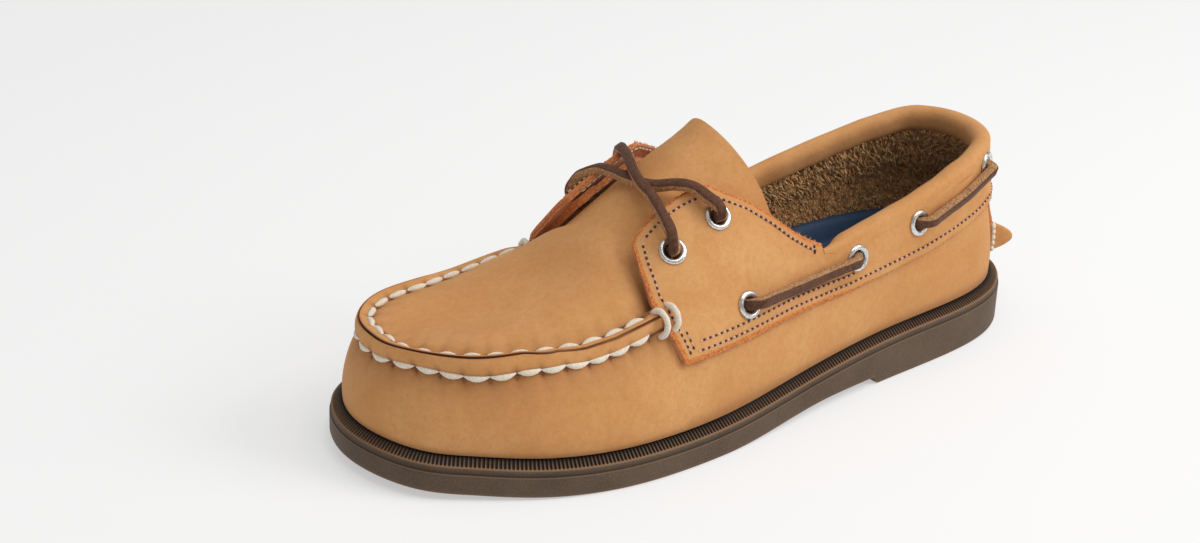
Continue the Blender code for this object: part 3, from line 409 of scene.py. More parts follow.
    def top_up(self, u: Grid) -> Grid:
        """The upper edge of the eyestay and band, under the collar's roll."""
        along = self.along_of(u)
        edge = self.table_up(TOP_EDGE, u)
        edge = np.where(along > SIZE.throat_back, 1.0, np.minimum(edge, 1.0))
        return np.where(along < SIZE.collar_front, edge - self.step_up(u, edge, SIZE.collar_height), edge)

    def wall_up(self, u: Grid) -> Grid:
        """The upper edge of the wall, under its overlays."""
        along = self.along_of(u)
        seam = self.seam_up(u)
        front = seam - self.step_up(u, seam, SIZE.seam_width / 2.0)
        trim = self.top_up(u)
        tucked = np.where(along < SIZE.collar_front, trim, trim - self.step_up(u, trim, 0.0016))
        slant = np.clip((along - SIZE.wall_slant) / (SIZE.wall_notch - SIZE.wall_slant), 0.0, 1.0)
        return tucked * (1.0 - slant) + front * slant

    def even(self, start: float, end: float, pitch: float) -> Grid:
        """Values of u from start to end whose points on the outline lie a pitch apart."""
        u = np.linspace(start, end, 1200)
        length = run_length(self.outline(u))
        count = max(4, int(length[-1] / pitch))
        return np.interp(np.linspace(0.0, length[-1], count + 1), length, u)

    def eyelet(self, place: EyeletPlace, side: int) -> Surface:
        """An eyelet's centre on the overlay's face, its axis and its upward direction."""
        u = self.station(place.along, side)
        point, normal, up = self.frame(u, self.up_at_height(u, place.height * place.measure))
        return point + normal * SIZE.face, normal, up


LAST = Last()


class Part(Enum):
    """Which face of a leather piece a mesh face belongs to; its value is the material's index."""

    FACE = 0
    BACK = 1
    CUT = 2


class Mesh(NamedTuple):
    """Vertices, faces of four corners and the material index of each face."""

    vertices: Grid
    faces: Grid
    kinds: Grid


def shell(outer: Grid, inner: Grid, closed: bool = False, kept: Optional[Grid] = None) -> Mesh:
    """A wall between two grids, with rims at its edges and round its holes.

    Args:
        outer: the face's points, one row for each column of the piece.
        inner: the back's points, in the same order.
        closed: whether the last row joins the first.
        kept: which cells are there; all of them by default.

    Returns:
        The closed mesh.
    """
    rows, columns = outer.shape[:2]
    last = rows if closed else rows - 1
    if kept is None:
        kept = np.ones((last, columns - 1), dtype=bool)
    i, k = np.meshgrid(np.arange(last), np.arange(columns - 1), indexing="ij")
    j = (i + 1) % rows
    a, b = i * columns + k, j * columns + k
    corners = np.stack([a, b, b + 1, a + 1], axis=-1)
    count = rows * columns
    sides = np.zeros((last, columns - 1, 4), dtype=bool)
    sides[:, 1:, 0] = kept[:, :-1]
    sides[:, :-1, 2] = kept[:, 1:]
    if closed:
        sides[:, :, 1] = np.roll(kept, -1, axis=0)
        sides[:, :, 3] = np.roll(kept, 1, axis=0)
    else:
        sides[:-1, :, 1] = kept[1:]
        sides[1:, :, 3] = kept[:-1]
    faces = [corners[kept], corners[kept][:, ::-1] + count]
    kinds = [Part.FACE, Part.BACK]
    for edge in range(4):
        open_side = kept & ~sides[:, :, edge]
        p = corners[open_side][:, edge]
        q = corners[open_side][:, (edge + 1) % 4]
        faces.append(np.stack([q, p, p + count, q + count], axis=-1))
        kinds.append(Part.CUT)
    every = np.concatenate(faces)
    index = np.concatenate([np.full(len(f), kind.value) for f, kind in zip(faces, kinds)])
    return Mesh(np.concatenate([outer.reshape(-1, 3), inner.reshape(-1, 3)]), every, index)


def on_face(values: Grid) -> Grid:
    """Numbers for the points of a shell's face, and 0 for those of its back."""
    return np.concatenate([values.ravel(), np.zeros(values.size)])


def tube(rings: Grid, kinds: Optional[Grid] = None) -> Mesh:
    """A closed bar through rings of points, its ends filled by strips.

    Args:
        rings: points, one row for each ring; each ring has an even number of points.
        kinds: the material index of each side of a ring; 0 by default.

    Returns:
        The closed mesh.
    """
    count, sides = rings.shape[:2]
    i, k = np.meshgrid(np.arange(count - 1), np.arange(sides), indexing="ij")
    m = (k + 1) % sides
    walls = np.stack([i * sides + k, i * sides + m, (i + 1) * sides + m, (i + 1) * sides + k], axis=-1)
    index = np.zeros(sides, dtype=int) if kinds is None else np.asarray(kinds)
    every = [walls.reshape(-1, 4)]
    kind = [np.broadcast_to(index[None, :], k.shape).reshape(-1)]
    half = sides // 2
    n = np.arange(half - 1)
    strip = np.stack([n, n + 1, sides - 2 - n, sides - 1 - n], axis=-1)
    for base, turned in ((0, True), ((count - 1) * sides, False)):
        every.append((strip[:, ::-1] if turned else strip) + base)
        kind.append(np.full(half - 1, Part.CUT.value if kinds is not None else 0))
    return Mesh(rings.reshape(-1, 3), np.concatenate(every), np.concatenate(kind))


def signed_volume(mesh: Mesh) -> float:
    """The volume inside a mesh, negative where its faces point in."""
    a, b, c, d = [mesh.vertices[mesh.faces[:, n]] for n in range(4)]
    return float((np.cross(a, b) * c).sum() + (np.cross(a, c) * d).sum()) / 6.0


def placed(name: str, data: bpy.types.ID) -> Piece:
    """A new object in the scene."""
    piece = bpy.data.objects.new(name, data)
    bpy.context.scene.collection.objects.link(piece)
    return piece


def dress(name: str, mesh: Mesh, finishes: Sequence[Finish],
          values: Optional[dict[str, Grid]] = None, sharp: float = 50.0) -> Piece:
    """An object from a mesh, with its finishes and the values that they read.

    Args:
        name: the piece's name.
        mesh: its form.
        finishes: a material for each index of the mesh's kinds.
        values: numbers on the vertices, by attribute name.
        sharp: the angle in degrees past which an edge is left sharp.

    Returns:
        The new object, in the scene.
    """
    faces = mesh.faces if signed_volume(mesh) > 0.0 else mesh.faces[:, ::-1]
    used = np.unique(faces)
    order = np.zeros(len(mesh.vertices), dtype=int)
    order[used] = np.arange(len(used))
    made = bpy.data.meshes.new(name)
    rows = [list(dict.fromkeys(face)) for face in order[faces].tolist()]
    flat = [row for row in rows if len(row) > 2]
    made.from_pydata(mesh.vertices[used].tolist(), [], flat)
    kinds = [kind for kind, row in zip(mesh.kinds.tolist(), rows) if len(row) > 2]
    made.polygons.foreach_set("material_index", np.minimum(kinds, len(finishes) - 1))
    for finish in finishes:
        made.materials.append(finish)
    for key, numbers in (values or {}).items():
        layer = made.attributes.new(key, "FLOAT", "POINT")
        layer.data.foreach_set("value", np.asarray(numbers, dtype=np.float32).reshape(-1)[used])
    made.shade_smooth()
    made.set_sharp_from_angle(angle=math.radians(sharp))
    return placed(name, made)


def settle(piece: Piece, slot: str, *nodes: str) -> Piece:
    """Makes a finished piece ride on the shoe and stand for its solids."""
    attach(piece, BODY)
    if nodes:
        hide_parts(*nodes)
    LOG.info("%s: %d faces, for %s", piece.name, len(piece.data.polygons), ", ".join(nodes) or "itself")
    return piece


def linear(red: int, green: int, blue: int) -> tuple[float, float, float, float]:
    """A colour given as on screen, from 0 to 255, as the shader's own numbers."""
    shares = [level / 255.0 for level in (red, green, blue)]
    return tuple(((c + 0.055) / 1.055) ** 2.4 if c > 0.04 else c / 12.92 for c in shares) + (1.0,)


class Nodes:
    """A tree of nodes, with short ways to add them."""

    def __init__(self, tree: bpy.types.NodeTree) -> None:
        """Takes the tree that the nodes go into."""
        self.tree = tree

    def node(self, kind: str, options: Optional[dict] = None, **inputs: object) -> Node:
        """Adds a node, sets its options and its inputs, and links those that are sockets."""
        made = self.tree.nodes.new(kind)
        for key, value in (options or {}).items():
            setattr(made, key, value)
        for key, value in inputs.items():
            socket = made.inputs[int(key[1:])] if key[1:].isdigit() else made.inputs[key.replace("_", " ")]
            if isinstance(value, Socket):
                self.tree.links.new(value, socket)
            else:
                socket.default_value = value
        return made

    def out(self, kind: str, options: Optional[dict] = None, **inputs: object) -> Socket:
        """Adds a node in the same way, and gives its first output."""
        return self.node(kind, options, **inputs).outputs[0]

    def math(self, operation: str, *values: object) -> Socket:
        """An arithmetic node on numbers or sockets."""
        inputs = {f"i{n}": value for n, value in enumerate(values)}
        return self.out("ShaderNodeMath", {"operation": operation}, **inputs)


class Graph(Nodes):
    """A material's nodes."""

    def __init__(self, name: str) -> None:
        """A new material with its Principled shader."""
        self.material = bpy.data.materials.new(name)
        self.material.use_nodes = True
        super().__init__(self.material.node_tree)
        self.shader = self.tree.nodes["Principled BSDF"]
        self.place = self.tree.nodes.new("ShaderNodeTexCoord").outputs["Object"]

    def noise(self, scale: float, detail: float = 3.0, roughness: float = 0.55, warp: float = 0.0) -> Socket:
        """A noise pattern in the piece's own space."""
        return self.out("ShaderNodeTexNoise", Vector=self.place, Scale=scale, Detail=detail, Roughness=roughness,
                        Distortion=warp)

    def ramp(self, value: Socket, low: float, high: float, start: float = 0.0, end: float = 1.0) -> Socket:
        """A value brought from one range to another, and clipped."""
        return self.out("ShaderNodeMapRange", i0=value, i1=low, i2=high, i3=start, i4=end)

    def mix(self, factor: object, a: object, b: object) -> Socket:
        """Two colours mixed."""
        return self.node("ShaderNodeMix", {"data_type": "RGBA"}, i0=factor, i6=a, i7=b).outputs[2]

    def value(self, name: str) -> Socket:
        """A number that the mesh holds."""
        return self.node("ShaderNodeAttribute", {"attribute_name": name}).outputs["Fac"]

    def bump(self, height: Socket, strength: float, distance: float,
             under: Optional[Socket] = None) -> Socket:
        """A relief, laid over another where one is given."""
        inputs = {"Height": height, "Strength": strength, "Distance": distance}
        if under is not None:
            inputs["Normal"] = under
        return self.out("ShaderNodeBump", **inputs)

    def finish(self, color: object, roughness: object, normal: Optional[Socket] = None,
               **uniform: object) -> Finish:
        """Joins colour, roughness and relief to the shader."""
        for key, value in (("Base Color", color), ("Roughness", roughness), ("Normal", normal)):
            if isinstance(value, Socket):
                self.tree.links.new(value, self.shader.inputs[key])
            elif value is not None:
                self.shader.inputs[key].default_value = value
        for key, value in uniform.items():
            self.shader.inputs[key.replace("_", " ")].default_value = value
        return self.material


@dataclass(frozen=True)
class Nubuck:
    """Tan leather with a short nap, in soft patches, darker by painted shade where it is pinched into seams,
    creases and puckers.
    """

    name: str
    base: tuple = linear(208, 149, 91)
    light: tuple = linear(218, 163, 106)
    deep: tuple = linear(190, 126, 70)
    shade: tuple = linear(92, 42, 32)
    raw: tuple = linear(218, 132, 66)
    raw_dark: tuple = linear(158, 82, 40)
    nap: float = 0.18

    def make(self) -> Finish:
        """Builds the material."""
        g = Graph(self.name)
        patches = g.ramp(g.noise(34.0, 4.0, 0.6, warp=0.6), 0.36, 0.66)
        color = g.mix(patches, self.base, self.light)
        stains = g.ramp(g.noise(15.0, 3.0, 0.5, warp=0.3), 0.46, 0.72, 0.0, 0.42)
        color = g.mix(stains, color, self.deep)
        grain = g.noise(1500.0, 3.0, 0.6)
        color = g.mix(g.ramp(grain, 0.35, 0.7, 0.0, 0.24), color, self.deep)
        color = g.mix(g.ramp(g.noise(430.0, 3.0, 0.65), 0.42, 0.68, 0.0, 0.30), color, self.deep)
        specks = g.ramp(g.noise(620.0, 2.0, 0.5), 0.60, 0.74, 0.0, 0.28)
        color = g.mix(specks, color, self.light)
        flecks = g.mix(g.ramp(g.noise(1300.0, 3.0, 0.7), 0.36, 0.56), self.raw_dark, self.raw)
        ragged = g.math("ADD", g.value("raw"), g.math("MULTIPLY", g.noise(900.0, 2.0), 0.4))
        color = g.mix(g.ramp(ragged, 0.55, 0.85), color, flecks)
        # Painted shade: the shade value darkens creases, puckers, the moccasin crack, seams and the wall's foot.
        color = g.mix(g.math("MULTIPLY", g.value("shade"), 0.9), color, self.shade)
        coarse = g.bump(g.noise(140.0, 4.0, 0.6, warp=1.2), 0.16, 0.0009)
        normal = g.bump(grain, 0.32, 0.00022, coarse)
        rough = g.ramp(grain, 0.3, 0.7, 0.78, 0.92)
        return g.finish(color, rough, normal, Sheen_Weight=self.nap, Sheen_Roughness=0.45,
                        Sheen_Tint=linear(236, 200, 160), Specular_IOR_Level=0.28)


@dataclass(frozen=True)
class RawEdge:
    """The cut edge or the fuzzy back of the leather."""

    name: str
    color: tuple = linear(238, 158, 90)
    dark: tuple = linear(190, 108, 56)
    scale: float = 1100.0

    def make(self) -> Finish:
        """Builds the material."""
        g = Graph(self.name)
        fluff = g.noise(self.scale, 4.0, 0.7)
        color = g.mix(g.ramp(fluff, 0.38, 0.66), self.dark, self.color)
        return g.finish(color, 0.95, g.bump(fluff, 0.8, 0.0005), Sheen_Weight=0.3, Sheen_Roughness=0.6)


@dataclass(frozen=True)
class Rubber:
    """The unit sole's rubber."""

    name: str
    color: tuple = linear(82, 70, 58)
    dark: tuple = linear(68, 57, 47)
    # Lighter brown: fine speckle of wear, and the painted highlight on the rubber's edges.
    wear_and_painted_shading: tuple = linear(142, 104, 70)
    tread: bool = False

    def make(self) -> Finish:
        """Builds the material."""
        g = Graph(self.name)
        mottle = g.ramp(g.noise(60.0, 3.0), 0.35, 0.7)
        color = g.mix(mottle, self.color, self.dark)
        color = g.mix(g.ramp(g.noise(1800.0, 2.0), 0.3, 0.75, 0.0, 0.35), color, self.wear_and_painted_shading)
        # Painted highlight on the rounded edges and rib crests, by the crest value.
        color = g.mix(g.value("crest"), color, self.wear_and_painted_shading)
        # Painted shade, near black, in the step, the rib grooves and the gap against the upper, by the dip
        # value.
        color = g.mix(g.value("dip"), color, linear(26, 16, 10))
        height = g.noise(1400.0, 3.0)
        normal = g.bump(height, 0.25, 0.0002)
        if self.tread:
            wave = g.node("ShaderNodeTexWave", {"bands_direction": "X"}, Vector=g.place, Scale=130.0,
                          Distortion=6.0, Detail=0.0, Detail_Scale=0.6).outputs[1]
            cuts = g.ramp(wave, 0.02, 0.14)
            normal = g.bump(cuts, 1.0, 0.0012, normal)
            # Painted shade in the tread's grooves.
            color = g.mix(g.math("SUBTRACT", 1.0, cuts), color, self.dark)
        return g.finish(color, 0.62, normal, Specular_IOR_Level=0.35)


@dataclass(frozen=True)
class Cloth:
    """The insole's cover."""

    name: str
    color: tuple = linear(14, 50, 82)
    light: tuple = linear(40, 84, 118)

    def make(self) -> Finish:
        """Builds the material."""
        g = Graph(self.name)
        grain = g.noise(900.0, 3.0)
        color = g.mix(g.ramp(grain, 0.3, 0.8, 0.0, 0.25), self.color, self.light)
        color = g.mix(g.value("edge"), color, self.light)
        return g.finish(color, 0.62, g.bump(grain, 0.3, 0.0002), Sheen_Weight=0.15)


@dataclass(frozen=True)
class Suede:
    """The shaggy lining: brown fibres over dark gaps, whose darkness is painted shade."""

    name: str
    color: tuple = linear(232, 178, 114)
    dark: tuple = linear(170, 116, 66)
    tip: tuple = linear(226, 158, 92)

    def make(self) -> Finish:
        """Builds the material."""
        g = Graph(self.name)
        clumps = g.noise(420.0, 4.0, 0.7)
        color = g.mix(g.ramp(clumps, 0.36, 0.6), self.dark, self.color)
        color = g.mix(g.ramp(g.noise(120.0, 2.0), 0.5, 0.7, 0.0, 0.6), color, self.tip)
        return g.finish(color, 0.95, g.bump(clumps, 1.0, 0.0012), Sheen_Weight=0.2, Sheen_Roughness=0.5)


@dataclass(frozen=True)
class Nickel:
    """Bright plate with small dents and scratches."""

    name: str

    def make(self) -> Finish:
        """Builds the material."""
        g = Graph(self.name)
        dents = g.noise(900.0, 2.0, 0.5, warp=1.5)
        color = g.mix(g.ramp(dents, 0.42, 0.58), linear(196, 195, 192), linear(228, 228, 226))
        rough = g.ramp(g.noise(2600.0, 2.0), 0.3, 0.7, 0.16, 0.34)
        return g.finish(color, rough, g.bump(dents, 0.08, 0.0002), Metallic=1.0)


@dataclass(frozen=True)
class Hide:
    """A face of the square lace: smooth and dark, or cut and rough."""

    name: str
    color: tuple
    dark: tuple
    relief: float
    scale: float

    def make(self) -> Finish:
        """Builds the material."""
        g = Graph(self.name)
        fibres = g.noise(self.scale, 4.0, 0.65, warp=0.8)
        color = g.mix(g.ramp(fibres, 0.36, 0.62), self.dark, self.color)
        return g.finish(color, 0.72, g.bump(fibres, self.relief, 0.0004), Sheen_Weight=0.05,
                        Specular_IOR_Level=0.25)


@dataclass(frozen=True)
class Thread:
    """Waxed sewing thread; a dark copy of it is painted shade at the needle holes."""

    name: str
    color: tuple
    dark: tuple

    def make(self) -> Finish:
        """Builds the material."""
        g = Graph(self.name)
        fibres = g.noise(2200.0, 3.0, 0.6)
        color = g.mix(g.ramp(fibres, 0.35, 0.6), self.dark, self.color)
        return g.finish(color, 0.8, g.bump(fibres, 0.5, 0.0002), Sheen_Weight=0.2)


class Finishes:
    """All materials of the shoe, each made once."""

    def __init__(self) -> None:
        """Makes the materials."""
        self.leather = Nubuck("tan_nubuck").make()
        self.edge = RawEdge("raw_orange_edge").make()
        self.fluff = RawEdge("orange_fluff", linear(240, 166, 98), linear(200, 122, 66), 700.0).make()
        self.lining = Suede("brown_suede").make()
        tips = (linear(252, 208, 144), linear(212, 150, 90), linear(250, 190, 122))
        self.tuft = Suede("suede_tufts", *tips).make()
        self.rubber = Rubber("brown_rubber").make()
        self.tread = Rubber("rubber_tread", tread=True).make()
        self.cloth = Cloth("blue_cover").make()
        self.nickel = Nickel("bright_nickel").make()
        face = Hide("lace_face", linear(104, 68, 47), linear(78, 48, 33), 0.22, 900.0).make()
        cut = Hide("lace_cut", linear(204, 156, 108), linear(118, 80, 52), 0.8, 1500.0).make()
        self.cream = Thread("cream_thread", linear(240, 231, 214), linear(214, 200, 178)).make()
        self.beige = Thread("beige_thread", linear(226, 184, 158), linear(176, 122, 96)).make()
        # A dark thread colour set at the needle holes as painted shade.
        self.hole = Thread("needle_hole", linear(84, 38, 24), linear(56, 24, 14)).make()
        self.wall = (self.leather, self.lining, self.edge)
        self.stay = (self.leather, self.fluff, self.edge)
        self.lace = (face, cut)


class Shape(Enum):
    """The small forms that are set many times."""

    STITCH = "stitch"
    TUFT = "tuft"
    LENS = "lens"
    EYELET = "eyelet"


class Places(NamedTuple):
    """Where small forms are set: points, the way they run, the way they face, and their scale."""

    points: Grid
    run: Grid
    face: Grid
    scale: Grid

    @staticmethod
    def joined(rows: Sequence["Places"]) -> "Places":
        """Several groups of places as one."""
        return Places(*[np.concatenate(column) for column in zip(*rows)])


class NodeTree(Nodes):
    """A Geometry Nodes tree that is built step by step."""

    def __init__(self, name: str) -> None:
        """A new tree with a geometry going in and one coming out."""
        super().__init__(bpy.data.node_groups.new(name, "GeometryNodeTree"))
        for way in ("INPUT", "OUTPUT"):
            self.tree.interface.new_socket("Geometry", in_out=way, socket_type="NodeSocketGeometry")
        self.start = self.tree.nodes.new("NodeGroupInput")
        self.end = self.tree.nodes.new("NodeGroupOutput")
        self.keys: dict[str, str] = {}

    def size(self, name: str, kind: str = "NodeSocketFloat") -> Socket:
        """A named input of the tree."""
        socket = self.tree.interface.new_socket(name, in_out="INPUT", socket_type=kind)
        self.keys[name] = socket.identifier
        return next(out for out in self.start.outputs if out.identifier == socket.identifier)

    def named(self, name: str, kind: str = "FLOAT_VECTOR") -> Socket:
        """An attribute of the points."""
        made = self.node("GeometryNodeInputNamedAttribute", {"data_type": kind}, Name=name)
        return next(out for out in made.outputs if out.enabled and out.name == "Attribute")


@dataclass
class Scatter:
    """Sets one small form at many places by Geometry Nodes, and keeps the result as a plain mesh."""

    name: str
    shape: Shape
    length: float
    width: float
    height: float
    finish: Finish
    tilt: float = 0.0
    seed: int = 3

    def form(self, tree: NodeTree, sizes: dict[str, Socket]) -> Socket:
        """The nodes that make the form: a lens or an eyelet of its real size, the others of size 1."""
        if self.shape is Shape.TUFT:
            return tree.out("GeometryNodeMeshCone", {"fill_type": "TRIANGLE_FAN"}, Vertices=3, Radius_Top=0.0,
                            Radius_Bottom=0.5, Depth=1.0)
        if self.shape is Shape.STITCH:
            return tree.out("GeometryNodeMeshUVSphere", Segments=8, Rings=6, Radius=0.5)
        if self.shape is Shape.EYELET:
            return self.eyelet_form(tree, sizes)
        return self.lens_form(tree, sizes)

    def eyelet_form(self, tree: NodeTree, sizes: dict[str, Socket]) -> Socket:
        """A rolled flange swept round a circle, with its barrel below."""
        middle, roll, bore = [tree.math("MULTIPLY", sizes["Length"], share) for share in (0.39, 0.11, 0.31)]
        circle = "GeometryNodeCurvePrimitiveCircle"
        path, ring = [tree.out(circle, Resolution=40, Radius=radius) for radius in (middle, bore)]
        section = tree.out(circle, Resolution=12, Radius=roll)
        wall = tree.out("GeometryNodeCurvePrimitiveQuadrilateral", Width=0.0005, Height=0.0038)
        flange = tree.out("GeometryNodeCurveToMesh", Curve=path, Profile_Curve=section)
        barrel = tree.out("GeometryNodeCurveToMesh", Curve=ring, Profile_Curve=wall)
        flat = tree.out("GeometryNodeTransform", Geometry=flange, Scale=(1.0, 1.0, 0.8))
        low = tree.out("GeometryNodeTransform", Geometry=barrel, Translation=(0.0, 0.0, -0.0019))
        both = tree.node("GeometryNodeJoinGeometry")
        tree.tree.links.new(flat, both.inputs[0])
        tree.tree.links.new(low, both.inputs[0])
        return both.outputs[0]

    def lens_form(self, tree: NodeTree, sizes: dict[str, Socket]) -> Socket:
        """A thick pointed stitch, bowed to one side, whose ends dive into the leather."""
        ball = tree.out("GeometryNodeMeshUVSphere", Segments=8, Rings=9, Radius=0.5)
        parts = tree.node("ShaderNodeSeparateXYZ", Vector=tree.out("GeometryNodeInputPosition")).outputs
        away = tree.math("MULTIPLY", parts[2], 2.0)
        square = tree.math("MULTIPLY", away, away)
        root = tree.math("POWER", tree.math("SUBTRACT", 1.12, square), 0.35)
        bowed = []
        for part, size in ((parts[0], sizes["Width"]), (parts[1], sizes["Height"])):
            thick = tree.math("MULTIPLY", part, root)
            bowed.append(tree.math("MULTIPLY", tree.math("MULTIPLY_ADD", square, -0.45, thick), size))
        along = tree.math("MULTIPLY", parts[2], sizes["Length"])
        moved = tree.out("ShaderNodeCombineXYZ", X=along, Y=bowed[0], Z=bowed[1])
        return tree.out("GeometryNodeSetPosition", Geometry=ball, Position=moved)

    def place(self, places: Places) -> Piece:
        """Sets one copy of the form at each place, and gives the piece as a plain mesh."""
        mesh = bpy.data.meshes.new(self.name)
        mesh.from_pydata(places.points.tolist(), [], [])
        for key, kind, slot, rows in (("run", "FLOAT_VECTOR", "vector", places.run),
                                      ("face", "FLOAT_VECTOR", "vector", places.face),
                                      ("grow", "FLOAT", "value", places.scale)):
            layer = mesh.attributes.new(key, kind, "POINT")
            layer.data.foreach_set(slot, np.asarray(rows, dtype=np.float32).ravel())
        piece = placed(self.name, mesh)
        tree = NodeTree(self.name)
        sizes = {name: tree.size(name) for name in ("Length", "Width", "Height", "Tilt")}
        seed = tree.size("Seed", "NodeSocketInt")
        finish = tree.size("Finish", "NodeSocketMaterial")
        align, join = "FunctionNodeAlignRotationToVector", "ShaderNodeCombineXYZ"
        turned = tree.out(align, {"axis": "X"}, Vector=tree.named("run"))
        faced = tree.out(align, {"axis": "Z", "pivot_axis": "X"}, Rotation=turned, Vector=tree.named("face"))
        scale = tree.out(join, X=sizes["Length"], Y=sizes["Width"], Z=sizes["Height"])
        if self.shape in (Shape.EYELET, Shape.LENS):
            scale = (1.0, 1.0, 1.0)
        grow = tree.named("grow", "FLOAT")
        whole = tree.out("ShaderNodeVectorMath", {"operation": "SCALE"}, i0=scale, Scale=grow)
        set_on = tree.out("GeometryNodeInstanceOnPoints", Points=tree.start.outputs[0],
                          Instance=self.form(tree, sizes), Rotation=faced, Scale=whole)
        low = tree.math("MULTIPLY", sizes["Tilt"], -1.0)
        least, most = [tree.out(join, X=tilt, Y=tilt, Z=tilt) for tilt in (low, sizes["Tilt"])]
        vector = {"data_type": "FLOAT_VECTOR"}
        sway = tree.out("FunctionNodeRandomValue", vector, Min=least, Max=most, Seed=seed)
        shaken = tree.out("GeometryNodeRotateInstances", Instances=set_on, Rotation=sway)
        solid = tree.out("GeometryNodeRealizeInstances", Geometry=shaken)
        soft = tree.out("GeometryNodeSetShadeSmooth", Geometry=solid)
        painted = tree.out("GeometryNodeSetMaterial", Geometry=soft, Material=finish)
        tree.tree.links.new(painted, tree.end.inputs[0])
        modifier = piece.modifiers.new("set", "NODES")
        modifier.node_group = tree.tree
        for name, value in (("Length", self.length), ("Width", self.width), ("Height", self.height),
                            ("Tilt", self.tilt), ("Seed", self.seed), ("Finish", self.finish)):
            modifier[tree.keys[name]] = value
        made = bpy.data.meshes.new_from_object(piece.evaluated_get(bpy.context.evaluated_depsgraph_get()))
        piece.modifiers.clear()
        piece.data = made
        return piece


def along_path(points: Grid, faces: Grid, pitch: float, phase: float = 0.5) -> Places:
    """Places a pitch apart along a path.

    Args:
        points: the path's points.
        faces: the way the surface faces at each.
        pitch: the distance between places.
        phase: where the first place lies, share of the pitch.

    Returns:
        The places, of scale 1.
    """
    length = run_length(points)
    count = max(2, int(round(length[-1] / pitch)))
    at = (np.arange(count) + phase) * length[-1] / count
    run = unit(along_rows(at, length, np.gradient(points, length, axis=0)))
    return Places(along_rows(at, length, points), run, unit(along_rows(at, length, faces)), np.ones(count))


@dataclass
class Sole:
    """The unit sole: side wall with its rim step, ribbed ledge, arch, heel block and tread."""

    finishes: Finishes
    rib_pitch: float = 0.0014
    rib_depth: float = 0.0009
    step_below: float = 0.0026
    step_depth: float = 0.0005
    edge_round: float = 0.0010

    def build(self) -> Piece:
        """Builds the sole's mesh from rings round the outline."""
        length = run_length(LAST.outline(LAST.fine))
        ribs = int(length[-1] / self.rib_pitch / 2.0)
        half = 4 * ribs
        outer = np.interp(np.linspace(0.0, length[LAST.toe], half + 1), length, LAST.fine)
        inner = np.interp(np.linspace(length[LAST.toe], length[-1], half + 1), length, LAST.fine)
        u = np.concatenate([outer, inner[1:-1]])
        columns = 2 * half
        index = np.arange(columns)
        mate = (columns - index) % columns
        along = np.clip((LAST.along_of(u) + LAST.along_of(u[mate])) / 2.0, 0.0, 1.0)
        groove = np.isin(index % 4, (2, 3)).astype(float)
        bottom, rim, seat = LAST.bottom(along), LAST.rim(along), LAST.seat(along)
        dip = self.rib_depth * groove
        rise = seat - rim
        ledge = SIZE.welt - self.step_depth
        # Each level: inset, height, painted highlight (crest) and painted shade (dip) of its ring.
        levels = [
            (3.0 * self.edge_round, bottom, 0.0, 0.0), (self.edge_round, bottom, 0.2, 0.0),
            (0.3 * self.edge_round, bottom + 0.3 * self.edge_round, 0.6, 0.0),
            (0.0, bottom + self.edge_round, 0.1, 0.0), (0.0, bottom + 2.0 * self.edge_round, 0.0, 0.0),
            (0.0, rim - self.step_below - 0.0003, 0.0, 0.0), (0.0001, rim - self.step_below, 0.55, 0.0),
            (self.step_depth, rim - self.step_below + 0.0002, 0.0, 0.7),
            (self.step_depth, rim - 0.0005, 0.0, 0.0), (self.step_depth + 0.0003, rim - 0.0001, 0.8, 0.0),
            (self.step_depth + 0.0007, rim + 0.1 * rise - 0.2 * dip, 0.7, 0.2 * groove),
            (self.step_depth + 0.0011, rim + 0.2 * rise - dip, 0.35 * (1.0 - groove), 0.9 * groove),
            (self.step_depth + 0.6 * ledge, rim + 0.65 * rise - dip, 0.2 * (1.0 - groove), 0.3 + 0.7 * groove),
            (self.step_depth + 0.95 * ledge, seat - 0.6 * dip, 0.0, 1.0),
            (SIZE.welt + 0.0015, seat - 0.0001, 0.0, 1.0),
        ]
        rings = [np.column_stack([LAST.outline(u, row[0]) + LAST.shift[:2], row[1]]) for row in levels]
        # Painted highlight on the rounded edges; painted shade in the step, the rib grooves and the gap against
        # the upper.
        crest = np.concatenate([np.broadcast_to(row[2], columns) for row in levels])
        dark = np.concatenate([np.broadcast_to(row[3], columns) for row in levels])
        i = np.arange(columns)
        j = (i + 1) % columns
        faces, kinds = [], []
        for level in range(len(rings) - 1):
            a, b = level * columns, (level + 1) * columns
            faces.append(np.stack([a + i, a + j, b + j, b + i], axis=-1))
            kinds.append(np.full(columns, 1 if level == 0 else 0))
        n = np.arange(half)
        for base, kind in ((0, 1), ((len(rings) - 1) * columns, 0)):
            strip = np.stack([n, n + 1, (columns - n - 1) % columns, (columns - n) % columns], axis=-1) + base
            faces.append(strip[:, ::-1] if kind else strip)
            kinds.append(np.full(half, kind))
        mesh = Mesh(np.concatenate(rings), np.concatenate(faces), np.concatenate(kinds))
        piece = dress("outsole_finished", mesh, (self.finishes.rubber, self.finishes.tread),
                      {"crest": crest, "dip": dark}, sharp=38.0)
        return settle(piece, "rubber_sole", "outsole")


class Trough(NamedTuple):
    """A soft fold in the wall."""

    side: int
    along: float
    up: float
    slant: float
    reach_along: float
    reach_up: float
    depth: float


def beside_eyelets(middle: Grid, hole: float) -> Grid:
    """Which cells, by their middles, stay when a hole is punched at each eyelet."""
    kept = np.ones(middle.shape[:2], dtype=bool)
    for side, _ in SIDES:
        for place in EYELETS:
            kept &= np.linalg.norm(middle - LAST.eyelet(place, side)[0], axis=-1) > hole
    return kept


